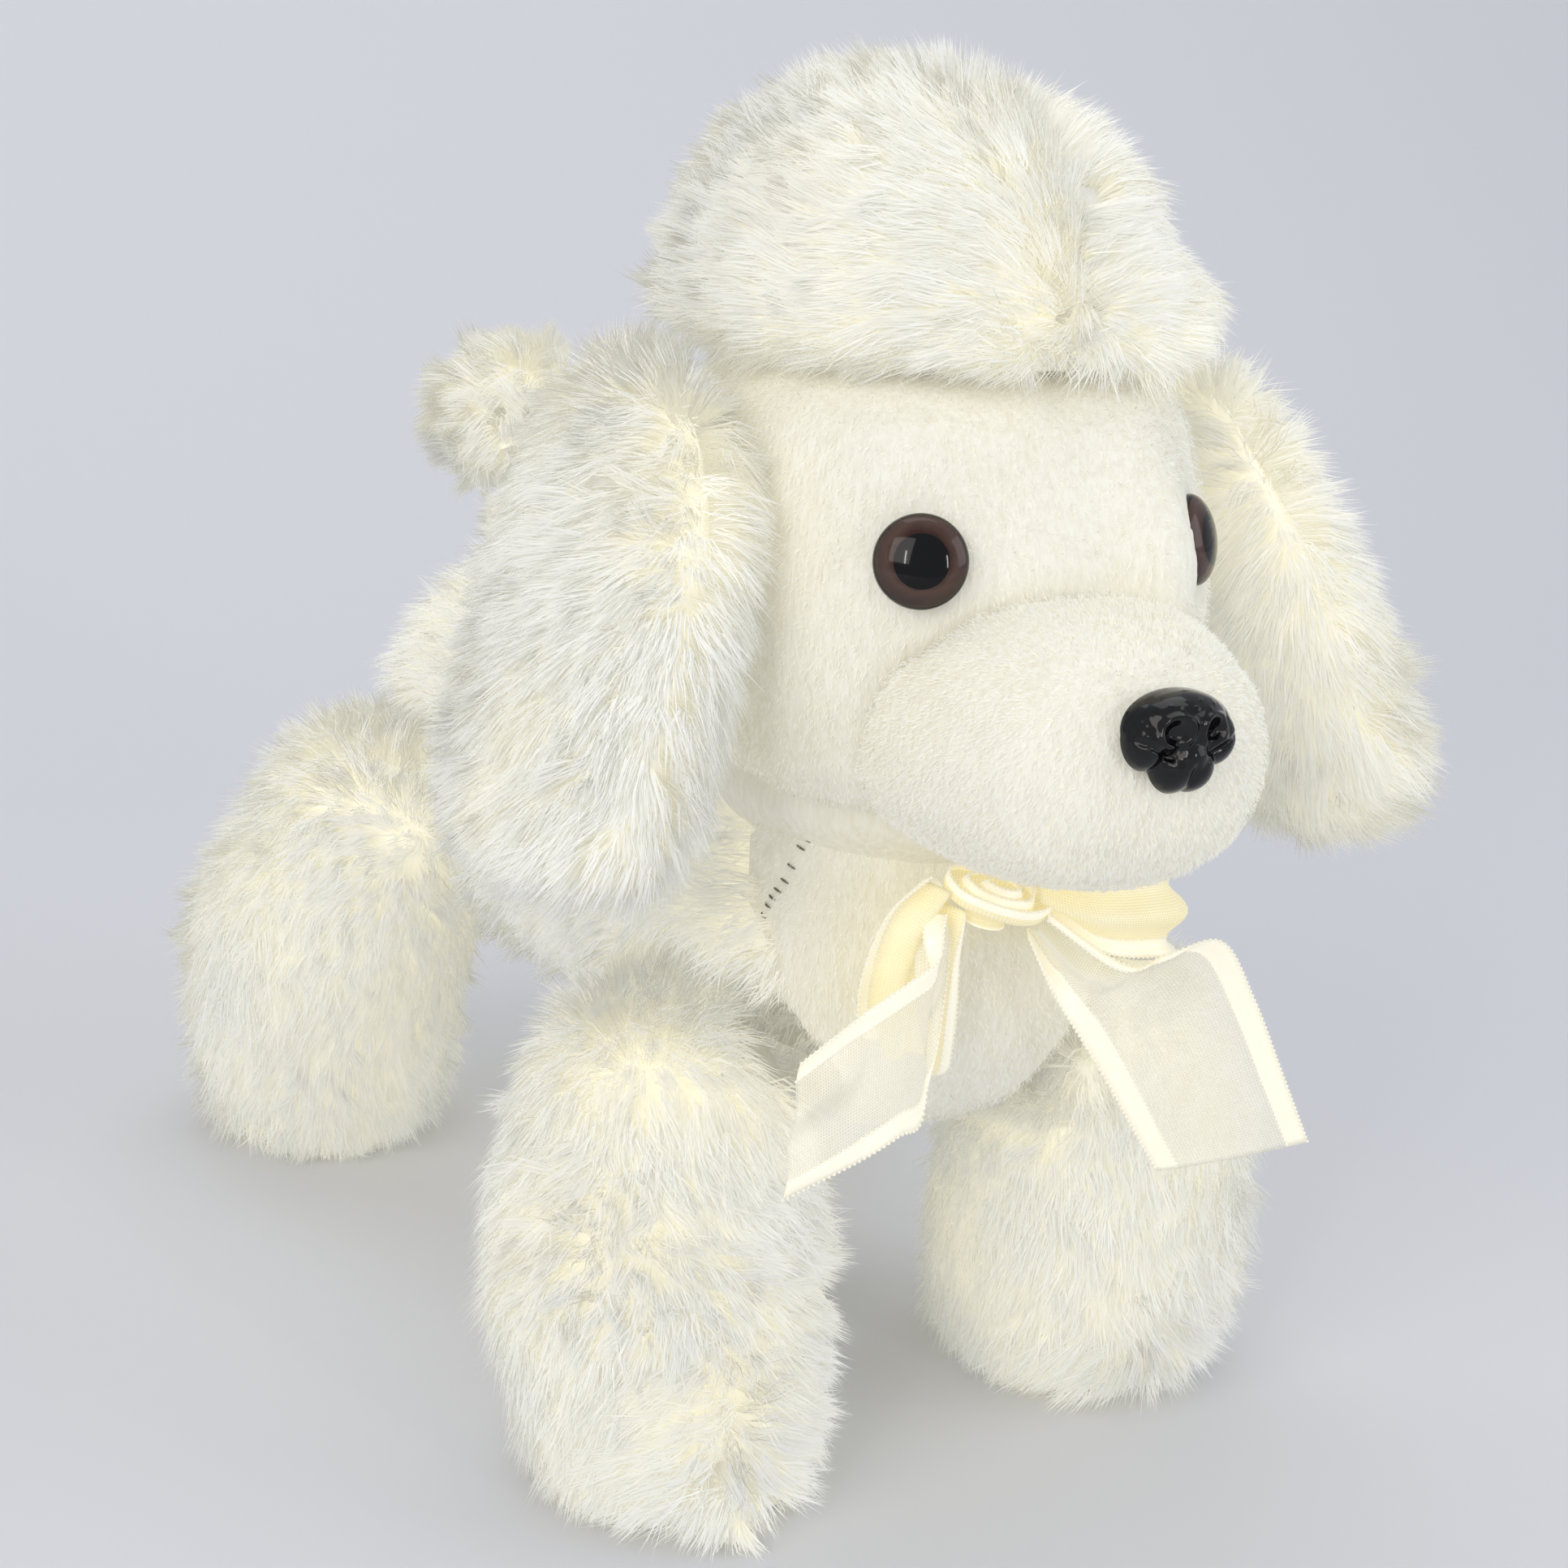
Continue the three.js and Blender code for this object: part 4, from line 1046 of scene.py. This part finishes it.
def makePicots(name, verts, columns):  # the dotted line of tiny loops along both sides of a band
    bead = bpy.data.meshes.new(name)
    deselectAll()
    bpy.ops.mesh.primitive_ico_sphere_add(subdivisions=1, radius=ribbon["beadSize"] * mm)
    model = bpy.context.object
    shape = pointsOf(model)
    corners = np.array([list(face.vertices) for face in model.data.polygons])
    bpy.data.objects.remove(model)
    places = []
    for column in columns:
        line = verts[:, column]
        reach = np.concatenate([[0], np.cumsum(np.linalg.norm(np.diff(line, axis=0), axis=1))])
        at = np.arange(0.4, reach[-1], ribbon["beadPitch"])
        places.append(np.stack([np.interp(at, reach, line[:, k]) for k in range(3)], 1) * mm)
    places = np.concatenate(places)
    points = (places[:, None] + shape[None]).reshape(-1, 3)
    faces = (corners[None] + (np.arange(len(places)) * len(shape))[:, None, None]).reshape(-1, 3)
    bead.from_pydata(points.tolist(), [], faces.tolist())
    bead.materials.append(picot)
    return addObject(name, bead)


def finishRibbon(piece, beads, body, node):
    applyModifier(piece, "SOLIDIFY", thickness=ribbon["thickness"] * mm, offset=0)
    for part in (piece, beads):
        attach(part, body)
    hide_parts(node)


def makeTailsAndLoops():
    width, band = ribbon["width"], ribbon["band"]
    for name, strip in bowStrips.items():
        piece, verts, share, length = makeStrip(name + "_ribbon", strip["rows"], width, band, band,
                                                foldedOrganza if "loop" in name else organza)
        bandEdges = [k for k, s in enumerate(share)
                     if min(abs(s * width - edge) for edge in (0, band, width - band, width)) < 0.01]
        beads = makePicots(name + "_picots", verts, bandEdges)
        print("stage:", name, "ribbon is", round(length, 1), "mm long")
        finishRibbon(piece, beads, strip["body"], name)


def makeRosette():  # the ribbon folded lengthwise and rolled round an upright axis, opening outwards
    centre, axis = Vector(rose["centre"]), Vector(rose["axis"]).normalized()
    across = Vector((0, -1, 0)).cross(axis).normalized()
    other = axis.cross(across)
    rows = []
    for t in np.linspace(0, 1, 61).tolist():
        angle = t * rose["turns"] * 2 * math.pi
        out = across * math.cos(angle) + other * math.sin(angle) * rose["flat"]
        radius = rose["inner"] + (rose["outer"] - rose["inner"]) * t
        wave = rose["ruffle"] * math.sin(angle * rose["ruffles"]) * t
        foot = centre + out * radius * rose["foot"]
        lip = centre + out * (radius + rose["flare"] * t + wave) + axis * (
            rose["height"] * (1 - rose["outerDrop"] * t) + wave * 0.5)
        rows.append((tuple(foot), tuple(lip), rose["belly"]))
    piece, verts, share, length = makeStrip("bow_rosette_ribbon", rows, ribbon["width"] / 2, *rose["bands"],
                                            foldedOrganza, steps=240, pleats=1)
    beads = makePicots("bow_rosette_picots", verts, [len(share) - 1])
    print("stage: bow_rosette ribbon is", round(length, 1), "mm long")
    finishRibbon(piece, beads, "trunk", "bow_rosette")


makeTailsAndLoops()
makeRosette()
print("stage: bow made")

# hidden inside: stuffing and washers keep their CAD shapes

innerMaterials = {  # crimped hollow fibre: matt and cloudy; unpigmented injected polyethylene: waxy and milky
    "stuffing": newMaterial("hollowfibreStuffing", {}, {
        "size": 4, "tones": ("#e6e4da", "#fbfaf5"), "rough": (0.9, 1.0), "relief": 0.4})[0],
    "washer": newMaterial("naturalPolyethylene", {}, {
        "size": 12, "tones": ("#e4e2d8", "#efede4"), "rough": (0.4, 0.5), "relief": 0.05})[0],
}
for name, node in frame["nodes"].items():
    for kind, material in innerMaterials.items():
        if kind in name:
            node.data.materials.clear()
            node.data.materials.append(material)
print("stage: stuffing and washers finished")
